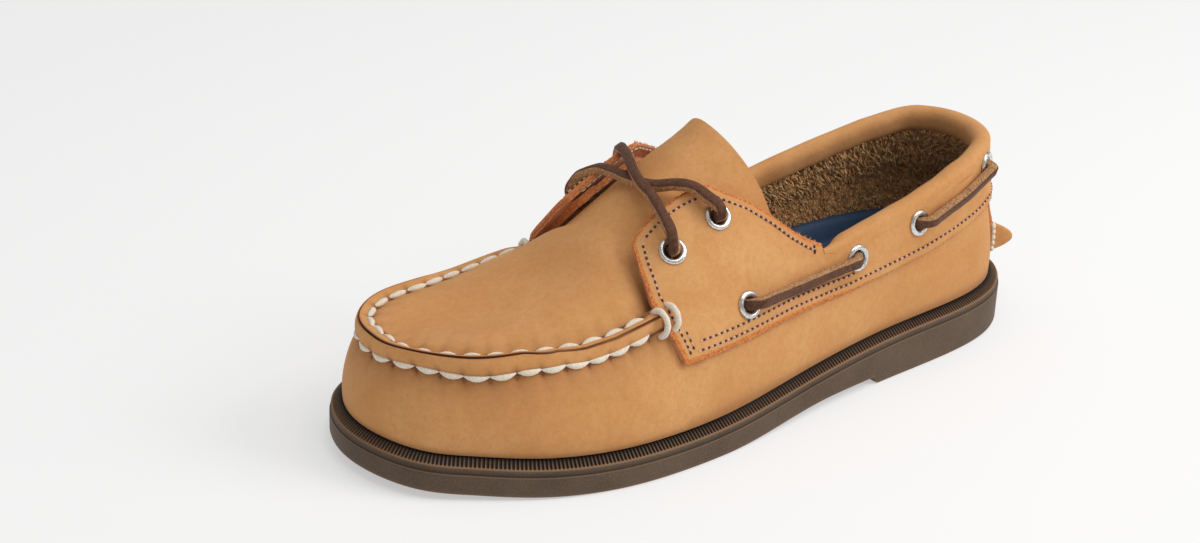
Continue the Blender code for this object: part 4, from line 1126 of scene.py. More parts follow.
@dataclass
class Upper:
    """Vamp and quarters in one wall, with the lining on its back."""

    finishes: Finishes
    pitch: float = 0.00085
    rows: int = 46
    hole: float = 0.0042
    pucker: float = 0.00042
    troughs: tuple = table(
        Trough, (-1, 0.715, 0.62, 0.10, 0.016, 0.30, 0.00050),
        (-1, 0.755, 0.55, 0.16, 0.020, 0.34, -0.00040), (-1, 0.640, 0.42, -0.10, 0.020, 0.30, 0.00045),
        (-1, 0.480, 0.30, 0.20, 0.040, 0.22, 0.00050), (-1, 0.300, 0.30, -0.20, 0.050, 0.20, 0.00045),
        (-1, 0.160, 0.35, 0.10, 0.035, 0.22, 0.00050), (1, 0.730, 0.60, -0.10, 0.018, 0.30, 0.00050),
        (1, 0.560, 0.35, 0.15, 0.030, 0.26, 0.00050), (1, 0.340, 0.30, 0.10, 0.045, 0.22, 0.00045),
        (1, 0.170, 0.35, -0.10, 0.035, 0.22, 0.00050), (-1, 0.880, 0.60, 0.05, 0.022, 0.26, 0.00030),
        (1, 0.860, 0.60, 0.00, 0.024, 0.26, 0.00030),
    )

    def folds(self, u: Grid, w: Grid) -> Grid:
        """How far soft folds move the wall's face in or out."""
        along = LAST.along_of(u)
        side = np.where(u < LAST.tip, -1, 1)
        made = np.zeros(np.broadcast(u, w).shape)
        for row in self.troughs:
            run = (along - row.along - row.slant * (w - row.up)) / row.reach_along
            rise = (w - row.up) / row.reach_up
            made -= np.where(side == row.side, row.depth, 0.0) * bell(run, 1.0) * bell(rise, 1.0)
        return made

    def gathers(self, u: Grid, drop: Grid) -> tuple[Grid, Grid]:
        """Lift and painted shade of the puckers under the moccasin seam, where drop is the distance below its
        foot.
        """
        phase = SEAM.phase(u)
        pull = bell(phase - 0.5, 0.16)
        front = LAST.along_of(u) > SIZE.wall_notch
        near = bell(drop, 0.0042, 1.3) * front
        far = bell(drop, 0.013) * front
        ripple = np.cos(2.0 * np.pi * phase)
        lift = -self.pucker * pull * near + 0.00006 * ripple * far - 0.0003 * near
        # Painted shade: dark notches where the thread dives in; and a soft darker band below the seam at the
        # front, partly wear and partly painted shade.
        notch = bell(phase - 0.5, 0.06) * bell(drop, 0.0016)
        wear_and_painted_shading = 0.20 * bell(drop, 0.010) * front
        return lift, np.clip(0.30 * near * (0.5 + 0.5 * pull) + 0.9 * notch + wear_and_painted_shading, 0.0, 1.0)

    def seam_step(self, u: Grid) -> Grid:
        """The step where the vamp laps the quarter on the inner side."""
        along = LAST.along_of(u)
        inner = u > LAST.tip
        return np.where(inner, 0.0007 * smooth(along, 0.628, 0.631) * (1.0 - smooth(along, 0.66, 0.76)), 0.0)

    def build(self) -> Piece:
        """Builds the wall between its skin and its lining."""
        u = LAST.even(0.0, LAST.turn, self.pitch)[:-1]
        top = LAST.wall_up(u)
        share = np.linspace(0.0, 1.0, self.rows) ** 0.9
        w = top[:, None] * share[None, :]
        place = np.broadcast_to(u[:, None], w.shape)
        point, normal, _ = LAST.frame(place, w)
        drop = np.cumsum(np.linalg.norm(np.diff(point, axis=1), axis=2)[:, ::-1], axis=1)[:, ::-1]
        drop = np.concatenate([drop, np.zeros((len(u), 1))], axis=1)
        lift, shade = self.gathers(place, drop)
        foot = bell(share, 0.05)[None, :]
        lift = lift + self.folds(place, w) * (1.0 - foot) + self.seam_step(place)
        shade = np.clip(shade + 0.45 * foot + 0.5 * bell(LAST.along_of(place) - 0.629, 0.0018)
                        * (place > LAST.tip), 0.0, 1.0)
        skin = point + normal * lift[..., None]
        tufted = 0.00025 * np.sin(place * 190.0) * np.sin(w * 60.0 + place * 71.0)
        lining = point - normal * (SIZE.leather + tufted + 0.00015)[..., None]
        middle = (point[:-1, :-1] + point[1:, 1:]) / 2.0
        middle = np.concatenate([middle, (point[-1:, :-1] + point[:1, 1:]) / 2.0])
        mesh = shell(skin, lining, closed=True, kept=beside_eyelets(middle, self.hole))
        piece = dress("vamp_and_quarters", mesh, self.finishes.wall, {"shade": on_face(shade)})
        return settle(piece, "tan_nubuck", "upper")


@dataclass
class Seam:
    """The raised moccasin seam: two leathers turned up side by side, and the thread that gathers them."""

    pitch: float = 0.0007
    stitch_pitch: float = 0.0083
    length: Grid = field(default_factory=lambda: np.zeros(0))
    u: Grid = field(default_factory=lambda: np.zeros(0))

    def __post_init__(self) -> None:
        """Measures the seam's length round the toe."""
        self.u = LAST.even(LAST.station(SIZE.seam_start - 0.008, -1),
                           LAST.station(SIZE.seam_start - 0.008, 1), self.pitch)
        line = LAST.own(self.u, LAST.seam_up(self.u))
        self.length = run_length(line)

    def count(self) -> int:
        """How many stitches the seam has."""
        return int(round(self.length[-1] / self.stitch_pitch))

    def phase(self, u: Grid) -> Grid:
        """The place within a stitch, from 0 to 1; 0.5 is where the thread dives."""
        s = np.interp(u, self.u, self.length) / self.length[-1] * self.count()
        return np.mod(s + 0.5, 1.0)

    def place(self, across: Grid, lift: Grid) -> Grid:
        """Points beside the seam: across from its line towards the plug, and lift over the last."""
        across = np.broadcast_to(across, self.u.shape)
        middle = LAST.seam_up(self.u)
        below = np.minimum(across, 0.0)
        point, normal, up = LAST.frame(self.u, middle + LAST.step_up(self.u, middle, below))
        high = np.broadcast_to(lift, self.u.shape)
        return point + up * np.maximum(across, 0.0)[:, None] + normal * high[:, None]

    def build(self, finishes: Finishes) -> Piece:
        """Builds the ridge with its crack and its puckers."""
        half = SIZE.seam_width / 2.0
        high = SIZE.seam_height
        # Rows: place across the ridge, lift, and painted shade at its foot and in the crack between the two
        # leathers.
        profile = (
            (-1.25, -0.25, 0.5), (-1.03, 0.00, 0.9), (-0.95, 0.16, 0.8), (-0.88, 0.36, 0.3), (-0.70, 0.60, 0.0),
            (-0.42, 0.80, 0.0), (-0.15, 0.94, 0.0), (0.00, 1.02, 0.1), (0.09, 1.00, 0.8), (0.14, 0.74, 1.0),
            (0.28, 0.74, 1.0), (0.33, 0.98, 0.8), (0.40, 1.00, 0.1), (0.55, 0.86, 0.0), (0.74, 0.58, 0.0),
            (0.87, 0.30, 0.3), (1.00, 0.02, 0.8), (1.25, -0.25, 0.5), (1.00, -0.60, 0.0), (-1.00, -0.60, 0.0),
        )
        phase = self.phase(self.u)
        pull = bell(phase - 0.5, 0.13)
        wave = 0.5 + 0.5 * np.sin(self.length / 0.0121) * np.sin(self.length / 0.0047)
        ends = np.minimum(self.length, self.length[-1] - self.length)
        front = smooth(LAST.along_of(self.u), 0.80, 0.93)
        rise = (0.55 + 0.45 * smooth(ends, 0.0, 0.012)) * (1.0 + 0.22 * front)
        rings, shades = [], []
        for across, lift, shade in profile:
            flank = bell(abs(across) - 0.85, 0.22)
            crest = bell(across - 0.2, 0.35)
            height = lift * high * rise - 0.00035 * flank * pull + 0.00022 * crest * wave * (lift > 0.0)
            sway = 0.00035 * np.sin(self.length / 0.0093) * bell(across - 0.22, 0.15)
            rings.append(self.place(across * half + sway, height))
            # Painted shade in the crack, varying along the seam and deeper at the toe, and on the flanks where
            # the thread pulls.
            crack = 0.1 < across < 0.35
            wear_and_painted_shading = shade * (np.clip(0.55 + 0.45 * wave + front, 0.0, 1.0) if crack else 1.0)
            shades.append(np.clip(wear_and_painted_shading + 0.5 * flank * pull, 0.0, 1.0) * np.ones(len(self.u)))
        mesh, values = tube(np.stack(rings, axis=1)), {"shade": np.stack(shades, axis=1)}
        piece = dress("moccasin_ridge", mesh, (finishes.leather,), values, sharp=75.0)
        return settle(piece, "tan_nubuck", "moc_seam")

    def stitches(self) -> Places:
        """The places of the thick stitches on both sides of the ridge."""
        half = SIZE.seam_width / 2.0
        rows = []
        count = self.count()
        spots = ((np.arange(count) + 0.5) / count * self.length[-1])[1:-1]
        for across, lift, lean, way in ((-1.03, 0.22, -0.9, 1.0), (0.97, 0.22, 0.9, -1.0)):
            hidden = smooth(LAST.along_of(self.u), 0.76, 0.90) * (self.u < LAST.tip) * (across > 0.0)
            line = self.place(across * half, (lift - 0.34 * hidden) * SIZE.seam_height)
            _, normal, up = LAST.frame(self.u, LAST.seam_up(self.u))
            face = unit(normal + up * lean)
            at = [along_rows(spots, self.length, grid) for grid in (line, face, np.gradient(line, axis=0))]
            rows.append(Places(at[0], way * unit(at[2]), unit(at[1]), np.ones(len(spots))))
        return Places.joined(rows)


SEAM = Seam()


def nearest_stitch(points: Grid) -> tuple[Grid, Grid]:
    """How far points lie from the moccasin seam, and their place within a stitch."""
    line = LAST.lifted(SEAM.u, LAST.seam_up(SEAM.u), 0.0)
    flat = points.reshape(-1, 3)
    gap = np.linalg.norm(flat[:, None, :] - line[None, :, :], axis=-1)
    near = gap.argmin(axis=1)
    phase = SEAM.phase(SEAM.u)[near]
    return gap.min(axis=1).reshape(points.shape[:-1]), phase.reshape(points.shape[:-1])


def grid_normals(grid: Grid) -> Grid:
    """The normals of a grid of points."""
    run = np.gradient(grid, axis=0)
    across = np.gradient(grid, axis=1)
    return unit(np.cross(run, across))


class TonguePlace(NamedTuple):
    """A cross cut of the tongue, from its middle to its edge inside the wall."""

    middle_along: float
    height: float
    middle: float
    edge_along: float
    edge_up: float
    free_up: float
    sunk: float


TONGUE = table(
    TonguePlace,
    (0.693, INSTEP_HIGH, 0.808, 0.693, 0.00, 0.90, 0.50),
    (0.677, INSTEP_HIGH, 0.846, 0.677, 0.00, 0.97, 1.20),
    (0.666, INSTEP_HIGH, 0.870, 0.664, 0.65, 1.00, 1.20),
    (0.640, INSTEP_HIGH, 0.925, 0.635, 0.62, 1.00, 1.00),
    (0.605, INSTEP_HIGH, 1.010, 0.598, 0.62, 1.00, 1.00),
    (0.570, INSTEP_HIGH, 1.089, 0.556, 0.62, 1.00, 1.00),
    (0.543, TONGUE_HIGH, 0.950, 0.515, 0.62, 0.90, 1.00),
    (0.522, TONGUE_HIGH, 1.000, 0.477, 0.62, 0.80, 1.00),
)
PLUG_MIDDLE = table(
    EdgePoint, (0.670, 1.640), (0.714, 1.440), (0.759, 1.280), (0.810, 1.175), (0.862, 1.105),
    (0.914, 1.055), (0.955, 1.022), (0.970, 1.005),
)


@dataclass
class Plug:
    """The plug over the toes, which goes on as the tongue."""

    finishes: Finishes
    steps: int = 18
    tucked: int = 3
    cut_steps: int = 7
    across: int = 61
    rows: int = 190
    clear: float = 0.0016
    lap: float = 0.0006
    edge_pull: float = 0.30
    crest_pull: float = 0.52
    plug_steps: tuple = (3, 4, 6, 8, 10, 12, 14)
    toe_steps: int = 2

    def stations(self, side: int) -> Grid:
        """Stations from the seam's end to the toe."""
        return np.linspace(LAST.station(SIZE.seam_start, side), LAST.tip, self.steps)

    def curve(self, ends: tuple, ways: tuple, middle: Grid, steps: int) -> Grid:
        """Points of a cross cut from edge to edge over its middle.

        Args:
            ends: the outer and the inner edge.
            ways: the directions in which the leather leaves them.
            middle: the highest point.
            steps: points of each half.

        Returns:
            The points of both halves.
        """
        halves = []
        for edge, way in zip(ends, ways):
            reach = abs(edge[1] - middle[1])
            first = edge + way * self.edge_pull * math.hypot(reach, middle[2] - edge[2])
            second = middle + np.array([0.0, math.copysign(self.crest_pull * reach, edge[1] - middle[1]), 0.0])
            t = np.linspace(0.0, 1.0, steps)[:, None]
            v = 1.0 - t
            halves.append(v ** 3 * edge + 3 * v * v * t * first + 3 * v * t * t * second + t ** 3 * middle)
        return np.concatenate([halves[0], halves[1][::-1][1:]])

    def beside(self, u: Grid) -> Surface:
        """The seam's inner foot at u, with its upward and outward directions."""
        point, normal, up = LAST.frame(u, LAST.seam_up(u))
        return point + up * (SIZE.seam_width / 2.0 - self.lap), up, normal

    def cuts(self) -> Grid:
        """All cross cuts from the toe to the tongue's top, each evened out across."""
        outer, inner = self.stations(-1), self.stations(1)
        around = np.concatenate([outer, inner[::-1][1:]])
        around = around[self.steps - 1 - self.toe_steps: self.steps + self.toe_steps]
        rows = [through(self.beside(around)[0], self.across)]
        keys = [row.along for row in PLUG_MIDDLE]
        heights = [row.height for row in PLUG_MIDDLE]
        for step in self.plug_steps:
            ends = [self.beside(np.asarray(u)) for u in (outer[-1 - step], inner[-1 - step])]
            middle = (ends[0][0] + ends[1][0]) / 2.0
            share = 0.5 - (middle[0] - LAST.shift[0]) / SIZE.length
            middle[2] = max(middle[2], np.interp(share, keys, heights) * TOE_HIGH)
            cut = self.curve((ends[0][0], ends[1][0]), (ends[0][1], ends[1][1]), middle, self.cut_steps)
            rows.append(through(cut, self.across))
        for place in TONGUE:
            rows.append(through(self.tongue_cut(place), self.across))
        return np.array(rows)

    def tongue_cut(self, place: TonguePlace) -> Grid:
        """One cross cut of the tongue."""
        sides = []
        for side in (-1, 1):
            u = LAST.station(place.edge_along, side)
            seam = LAST.seam_up(u)
            beside = float(seam + LAST.step_up(u, seam, SIZE.seam_width / 2.0 - self.lap))
            w = np.linspace(place.edge_up or beside, place.free_up, self.tucked + 1)
            point, normal, up = LAST.frame(np.full(len(w), u), w)
            sides.append((point - normal * (SIZE.leather + self.clear) * place.sunk, up[-1]))
        middle = np.array([LAST.along_x(place.middle_along), 0.0, place.middle * place.height]) + LAST.shift
        ends = (sides[0][0][-1], sides[1][0][-1])
        over = self.curve(ends, (sides[0][1], sides[1][1]), middle, self.cut_steps - self.tucked)
        return np.concatenate([sides[0][0][:-1], over, sides[1][0][::-1][1:]])

    def relief(self, skin: Grid) -> tuple[Grid, Grid]:
        """Puckers beside the seam and soft waves over the toes."""
        gap, phase = nearest_stitch(skin)
        reach = np.maximum(gap - SIZE.seam_width / 2.0, 0.0)
        pull = bell(phase - 0.5, 0.17)
        near = bell(reach, 0.0040, 1.3)
        far = bell(reach, 0.012)
        x, y = skin[..., 0] - LAST.shift[0], skin[..., 1]
        toes = bell(x + 0.085, 0.035)
        lift = -0.00050 * pull * near + 0.00006 * np.cos(2.0 * np.pi * phase) * far
        lift += 0.00035 * np.sin(x / 0.0062 + 3.0 * np.sin(y / 0.017)) * bell(x + 0.052, 0.012)
        lift += 0.00022 * np.sin(y / 0.0065 + x / 0.012) * toes
        return lift, 0.30 * near * (0.5 + 0.5 * pull)

    def build(self) -> Piece:
        """Builds plug and tongue in one."""
        skin = through(self.cuts(), self.rows)
        normal = grid_normals(skin)
        normal *= np.sign(normal[self.rows // 2, self.across // 2, 2])
        lift, shade = self.relief(skin)
        skin = skin + normal * lift[..., None]
        depth = np.full(skin.shape[:2], SIZE.leather)
        depth[-1] *= 0.6
        mesh = shell(skin, skin - normal * depth[..., None])
        piece = dress("plug_and_tongue", mesh, self.finishes.wall, {"shade": on_face(shade)})
        return settle(piece, "tan_nubuck", "plug_tongue")


@dataclass
class Overlays:
    """Eyestay and band in one leather each side, with the rolled collar and the heel stay."""

    finishes: Finishes
    pitch: float = 0.00085
    rows: int = 40
    hole: float = 0.0034
    proud: float = 0.0030
    raw_wide: float = 0.0018
    bow_at: tuple = (0.0, 0.25, 0.5, 0.75, 1.0)
    bow: tuple = (0.659, 0.672, 0.681, 0.676, 0.6655)
    tuck: float = 0.0009
    stay_half: float = 0.0050
    stay_clear: float = 0.0008
    fin_top: float = 0.0135

    def beside_heel(self, distance: float) -> float:
        """The change of u that a distance to the side of the back seam makes, high on the heel."""
        side = LAST.fine[LAST.fine < LAST.station(0.06, -1)]
        return float(np.interp(distance, np.abs(LAST.own(side, 0.8)[:, 1]), side))

    def columns(self, side: int) -> Grid:
        """The stations from the heel stay to the front edge."""
        heel = 0.0 if side < 0 else LAST.turn
        start = heel - side * self.beside_heel(self.stay_half + self.stay_clear)
        return LAST.even(start, LAST.station(SIZE.front_edge, side), self.pitch)

    def face(self, side: int, u: Grid, share: Grid, lift: Grid, inset: float = 0.0) -> Surface:
        """Points on the overlay, bowed forwards near its front edge.

        Args:
            side: -1 outer, 1 inner.
            u: the stations.
            share: the share of the way from the lower to the upper edge, at each station.
            lift: height over the last.
            inset: how far the place lies inside the upper or lower edge that its share names.

        Returns:
            Points, normals and upward directions.
        """
        u, share = np.broadcast_arrays(u, share)
        front = LAST.station(SIZE.front_edge, side)
        near = smooth(LAST.along_of(u), 0.60, SIZE.front_edge)
        bowed = LAST.station(np.interp(share, self.bow_at, self.bow), side)
        moved = u + (bowed - front) * near
        low, high = LAST.table_up(LOW_EDGE, moved), LAST.top_up(moved)
        way = np.where(share > 0.5, -1.0, 1.0) * inset
        w = low + (high - low) * share
        w = w + LAST.step_up(moved, w, way)
        point, normal, up = LAST.frame(moved, w)
        raised = self.proud * smooth(share, 0.66, 1.0) * smooth(LAST.along_of(moved), 0.44, 0.50) * (side > 0)
        point = point + normal * np.asarray(lift)[..., None]
        point[..., 2] += raised
        return point, normal, up

    def build_band(self, side: int, word: str) -> Piece:
        """Builds the eyestay and band of one side."""
        u = self.columns(side)
        share = np.linspace(0.0, 1.0, self.rows)
        place = np.broadcast_to(u[:, None], (len(u), self.rows))
        shares = np.broadcast_to(share[None, :], place.shape)
        along = LAST.along_of(place)
        edge = np.minimum(shares, 1.0 - shares)
        soft = 0.0005 * bell(edge, 0.02)
        tucked = self.tuck * smooth(shares, 0.93, 1.0) * (along < SIZE.collar_front)
        wave = 0.00018 * np.sin(place * 41.0 + shares * 7.0) * np.sin(shares * 9.0 + place * 13.0)
        valley = 0.0004 * bell(shares - 0.30, 0.12) * (along < 0.55)
        lift = SIZE.face - soft - tucked + wave - valley
        skin, _, _ = self.face(side, place, shares, lift)
        back, _, _ = self.face(side, place, shares, 0.0001 - tucked)
        kept = beside_eyelets((skin[:-1, :-1] + skin[1:, 1:]) / 2.0, self.hole)
        tall = np.linalg.norm(skin[:, -1] - skin[:, 0], axis=1)[:, None]
        front = np.linalg.norm(skin - skin[-1:], axis=-1)
        low = bell(shares * tall, self.raw_wide) * (0.45 + 0.55 * smooth(along, 0.30, 0.44))
        high = bell((1.0 - shares) * tall, self.raw_wide) * (along > SIZE.collar_front)
        raw = np.maximum(np.maximum(low, high), bell(front, self.raw_wide))
        mesh = shell(skin, back, kept=kept)
        piece = dress(f"eyestay_and_band_{word}", mesh, self.finishes.stay, {"raw": on_face(raw)})
        return settle(piece, "tan_nubuck", f"eyestay_{word}")

    def build_collar(self) -> Piece:
        """Builds the padded roll from one end of the throat round the heel to the other."""
        start = LAST.station(SIZE.collar_front - 0.001, -1)
        end = LAST.station(SIZE.collar_front - 0.001, 1)
        outer = LAST.even(0.0, start, self.pitch)
        inner = LAST.even(end, LAST.turn, self.pitch)
        u = np.concatenate([outer[::-1], inner[::-1][1:]])
        point, normal, up = LAST.frame(u, LAST.top_up(u))
        length = run_length(point)
        ends = np.minimum(length, length[-1] - length)
        size = 0.30 + 0.70 * smooth(ends, 0.0, 0.013)
        roll = ((-0.55, 0.004), (0.00, -0.006), (0.60, 0.045), (0.96, 0.27), (1.00, 0.52), (0.72, 0.80),
                (0.20, 0.96), (-0.40, 1.00), (-0.80, 0.93), (-1.00, 0.75), (-0.95, 0.45))
        profile = through(np.array(roll), 34)
        wave = 1.0 + 0.05 * np.sin(length / 0.009) * np.sin(length / 0.0037 + 1.0)
        rings = []
        for rise, depth in profile:
            tall = np.where(rise > 0.0, rise * SIZE.collar_height, rise * SIZE.collar_drop) * size
            deep = SIZE.face - depth * SIZE.collar_thick * size * np.where(depth > 0.3, wave, 1.0)
            rings.append(point + up * tall[:, None] + normal * deep[:, None])
        mesh = tube(np.stack(rings, axis=1))
        shade = np.tile(np.interp(profile[:, 1], (0.0, 0.6, 1.0), (0.0, 0.03, 0.22)), len(u))
        piece = dress("collar_roll", mesh, (self.finishes.leather,), {"shade": shade}, sharp=80.0)
        return settle(piece, "tan_nubuck", "collar")

    def build_stay(self) -> Piece:
        """Builds the narrow stay over the back seam."""
        half = self.beside_heel(self.stay_half)
        u = np.linspace(-half, half, 17)
        floor = float(LAST.seat(0.0)) + self.fin_top + 2.0 * SIZE.gap
        low = LAST.up_at_height(u, floor)
        share = np.linspace(0.0, 1.0, 60)
        w = low[:, None] + (LAST.top_up(u) - low)[:, None] * share[None, :]
        place = np.broadcast_to(u[:, None], w.shape)
        seam = 0.0006 * bell(place, 0.12 * half)
        swell = 0.00012 * np.sin(share * 33.0)[None, :]
        skin = LAST.lifted(place, w, 0.0026 - seam + swell - 0.0004 * np.abs(place / half) ** 6)
        back = LAST.lifted(place, w, 0.0002)
        shade = 0.6 * bell(place, 0.10 * half)
        piece = dress("heel_stay_finished", shell(skin, back), self.finishes.wall, {"shade": on_face(shade)})
        return settle(piece, "tan_nubuck", "heel_stay")


class FinCut(NamedTuple):
    """A level cut of the heel fin: shares of its height and of its length."""

    level: float
    reach: float


@dataclass
class HeelFin:
    """The pinched flap low on the back seam, with its thick stitches."""

    finishes: Finishes
    length: float = 0.0125
    thick: float = 0.0034
    height: float = 0.0135
    lean: float = 0.0060
    stitch_count: int = 5
    stitch_out: float = 0.0042
    stitch_aside: float = 0.0016
    stitch_lean: float = 0.0019
    cuts: tuple = table(
        FinCut, (0.00, 0.43), (0.17, 0.83), (0.33, 0.99), (0.50, 0.97), (0.67, 0.80), (0.83, 0.52),
        (1.00, 0.19),
    )

    def root(self, height: Grid) -> Grid:
        """The X of the back seam at heights."""
        centre = np.zeros(len(height))
        return LAST.own(centre, LAST.up_at_height(centre, height))[:, 0] + SIZE.gap + LAST.shift[0]

    def build(self) -> Piece:
        """Builds the flap of two leathers pressed together."""
        rows = through(np.array(self.cuts), 30)
        height = float(LAST.seat(0.0)) + 2.0 * SIZE.gap + self.height * rows[:, 0]
        root = self.root(height)
        rings, shades = [], []
        turn = np.linspace(0.0, 1.0, 13)
        side = np.concatenate([turn, turn[::-1][1:]])
        for reach, x, z in zip(rows[:, 1], root, height):
            tip, lean = reach * self.length, -reach * self.lean
            ring = []
            for n, t in enumerate(side):
                sign = -1.0 if n < len(turn) else 1.0
                full = self.thick / 2.0 * math.sqrt(max(0.0, 1.0 - t ** 3.2)) * (1.0 - 0.18 * t)
                crease = -0.0003 * bell(t - 0.16, 0.07)
                y = LAST.shift[1] + lean * t ** 1.1 + sign * (full + crease)
                ring.append((x + t * tip - 0.0005 * (t == 0.0), y, z))
            rings.append(ring[:-1])
            shades.append(0.5 * bell(side[:-1] - 0.10, 0.08))
        mesh = tube(np.array(rings))
        raw = np.repeat(smooth(rows[:, :1], 0.80, 0.94), len(side) - 1, axis=1)
        values = {"shade": np.array(shades), "raw": raw}
        piece = dress("heel_fin_finished", mesh, (self.finishes.leather,), values, sharp=75.0)
        return settle(piece, "tan_nubuck", "heel_fin")

    def stitches(self) -> Places:
        """Thick stitches down the flap's root, on both faces."""
        count = self.stitch_count
        level = (np.arange(count) + 0.6) / (count + 0.6)
        height = float(LAST.seat(0.0)) + self.height * level
        root = self.root(height)
        rows = []
        for sign in (-1.0, 1.0):
            y = LAST.shift[1] + sign * self.stitch_aside - self.stitch_lean
            spot = np.column_stack([root + self.stitch_out, np.full(count, y), height])
            run = np.tile([0.12, 0.0, 1.0], (count, 1))
            face = np.tile([0.45, sign, 0.0], (count, 1))
            rows.append(Places(spot, unit(run), unit(face), np.ones(count)))
        return Places.joined(rows)


@dataclass
class Insole:
    """The cupped footbed with its cover."""

    finishes: Finishes
    ends: float = 0.03
    cuts: int = 90
    across: int = 41
    thick: float = 0.0035
    ease: float = 0.0004
    cup_wall: float = 0.0030
    cup_high: float = 0.0120
    cup_share: float = 0.80
    narrow: float = 0.15

    def build(self) -> Piece:
        """Builds the footbed from cross cuts between the walls."""
        share = np.linspace(self.ends, 1.0 - self.ends, self.cuts)
        sides = [heel + (LAST.tip - heel) * share for heel in (0.0, LAST.turn)]
        lining = -(SIZE.leather + 1.5 * SIZE.gap)
        tops, unders = [], []
        for ends in zip(*sides):
            along = float(LAST.along_of(ends[0]) + LAST.along_of(ends[1])) / 2.0
            floor = float(LAST.seat(along)) + SIZE.gap
            cup = self.cup_high * (1.0 - float(smooth(along, 0.35, 0.72)))
            edges, feet = [], []
            for u in ends:
                edges.append(LAST.lifted(u, LAST.up_at_height(u, floor + cup + self.thick), lining))
                foot = LAST.lifted(u, LAST.up_at_height(u, floor + 2.0 * self.ease), lining - self.ease)
                feet.append(np.array([foot[0], foot[1], floor]))
            across = edges[1] - edges[0]
            span = np.linalg.norm(across[:2])
            wall = min(self.cup_wall, self.narrow * span) / span
            rim = [(0.0, 0.0), (0.35 * wall, -0.02), (wall, 0.10), (1.7 * wall, 0.45), (2.6 * wall, 0.85),
                   (4.0 * wall, 0.97)]
            far = [(1.0 - place, depth) for place, depth in reversed(rim)]
            fine = through(np.array(rim + [(0.5, 1.0)] + far), self.across)
            drop = np.zeros((self.across, 3))
            drop[:, 2] = fine[:, 1] * self.cup_share * cup
            tops.append(edges[0] + across * fine[:, :1] - drop)
            unders.append(np.linspace(0.0, 1.0, self.across)[:, None] * (feet[1] - feet[0]) + feet[0])
        edge = np.zeros((self.cuts, self.across))
        edge[:, :3] = edge[:, -3:] = 0.6
        mesh = shell(np.array(tops), np.array(unders))
        piece = dress("footbed", mesh, (self.finishes.cloth,), {"edge": on_face(edge)})
        return settle(piece, "blue_insole", "insole")


class LacePoint(NamedTuple):
    """A point of a lace: shares of the length, of the ball's width and of the instep's height."""

    along: float
    across: float
    height: float


OVER_STRAND = table(
    LacePoint, (0.638, -0.256, 0.9144), (0.635, -0.199, 0.9592), (0.630, -0.132, 0.9967),
    (0.629, -0.068, 1.0257), (0.623, -0.014, 1.0451), (0.609, 0.059, 1.0572), (0.595, 0.132, 1.0535),
    (0.586, 0.182, 1.0427), (0.576, 0.228, 1.0136),
)
UNDER_STRAND = table(
    LacePoint, (0.572, -0.270, 0.9786), (0.579, -0.238, 1.0076), (0.588, -0.200, 1.0378),
    (0.600, -0.1445, 1.0354), (0.613, -0.097, 1.0167), (0.6205, -0.045, 1.0094), (0.625, 0.050, 1.0064),
    (0.6265, 0.096, 1.0052), (0.6275, 0.148, 0.9943), (0.630, 0.1845, 0.9725), (0.634, 0.2340, 0.9302),
)


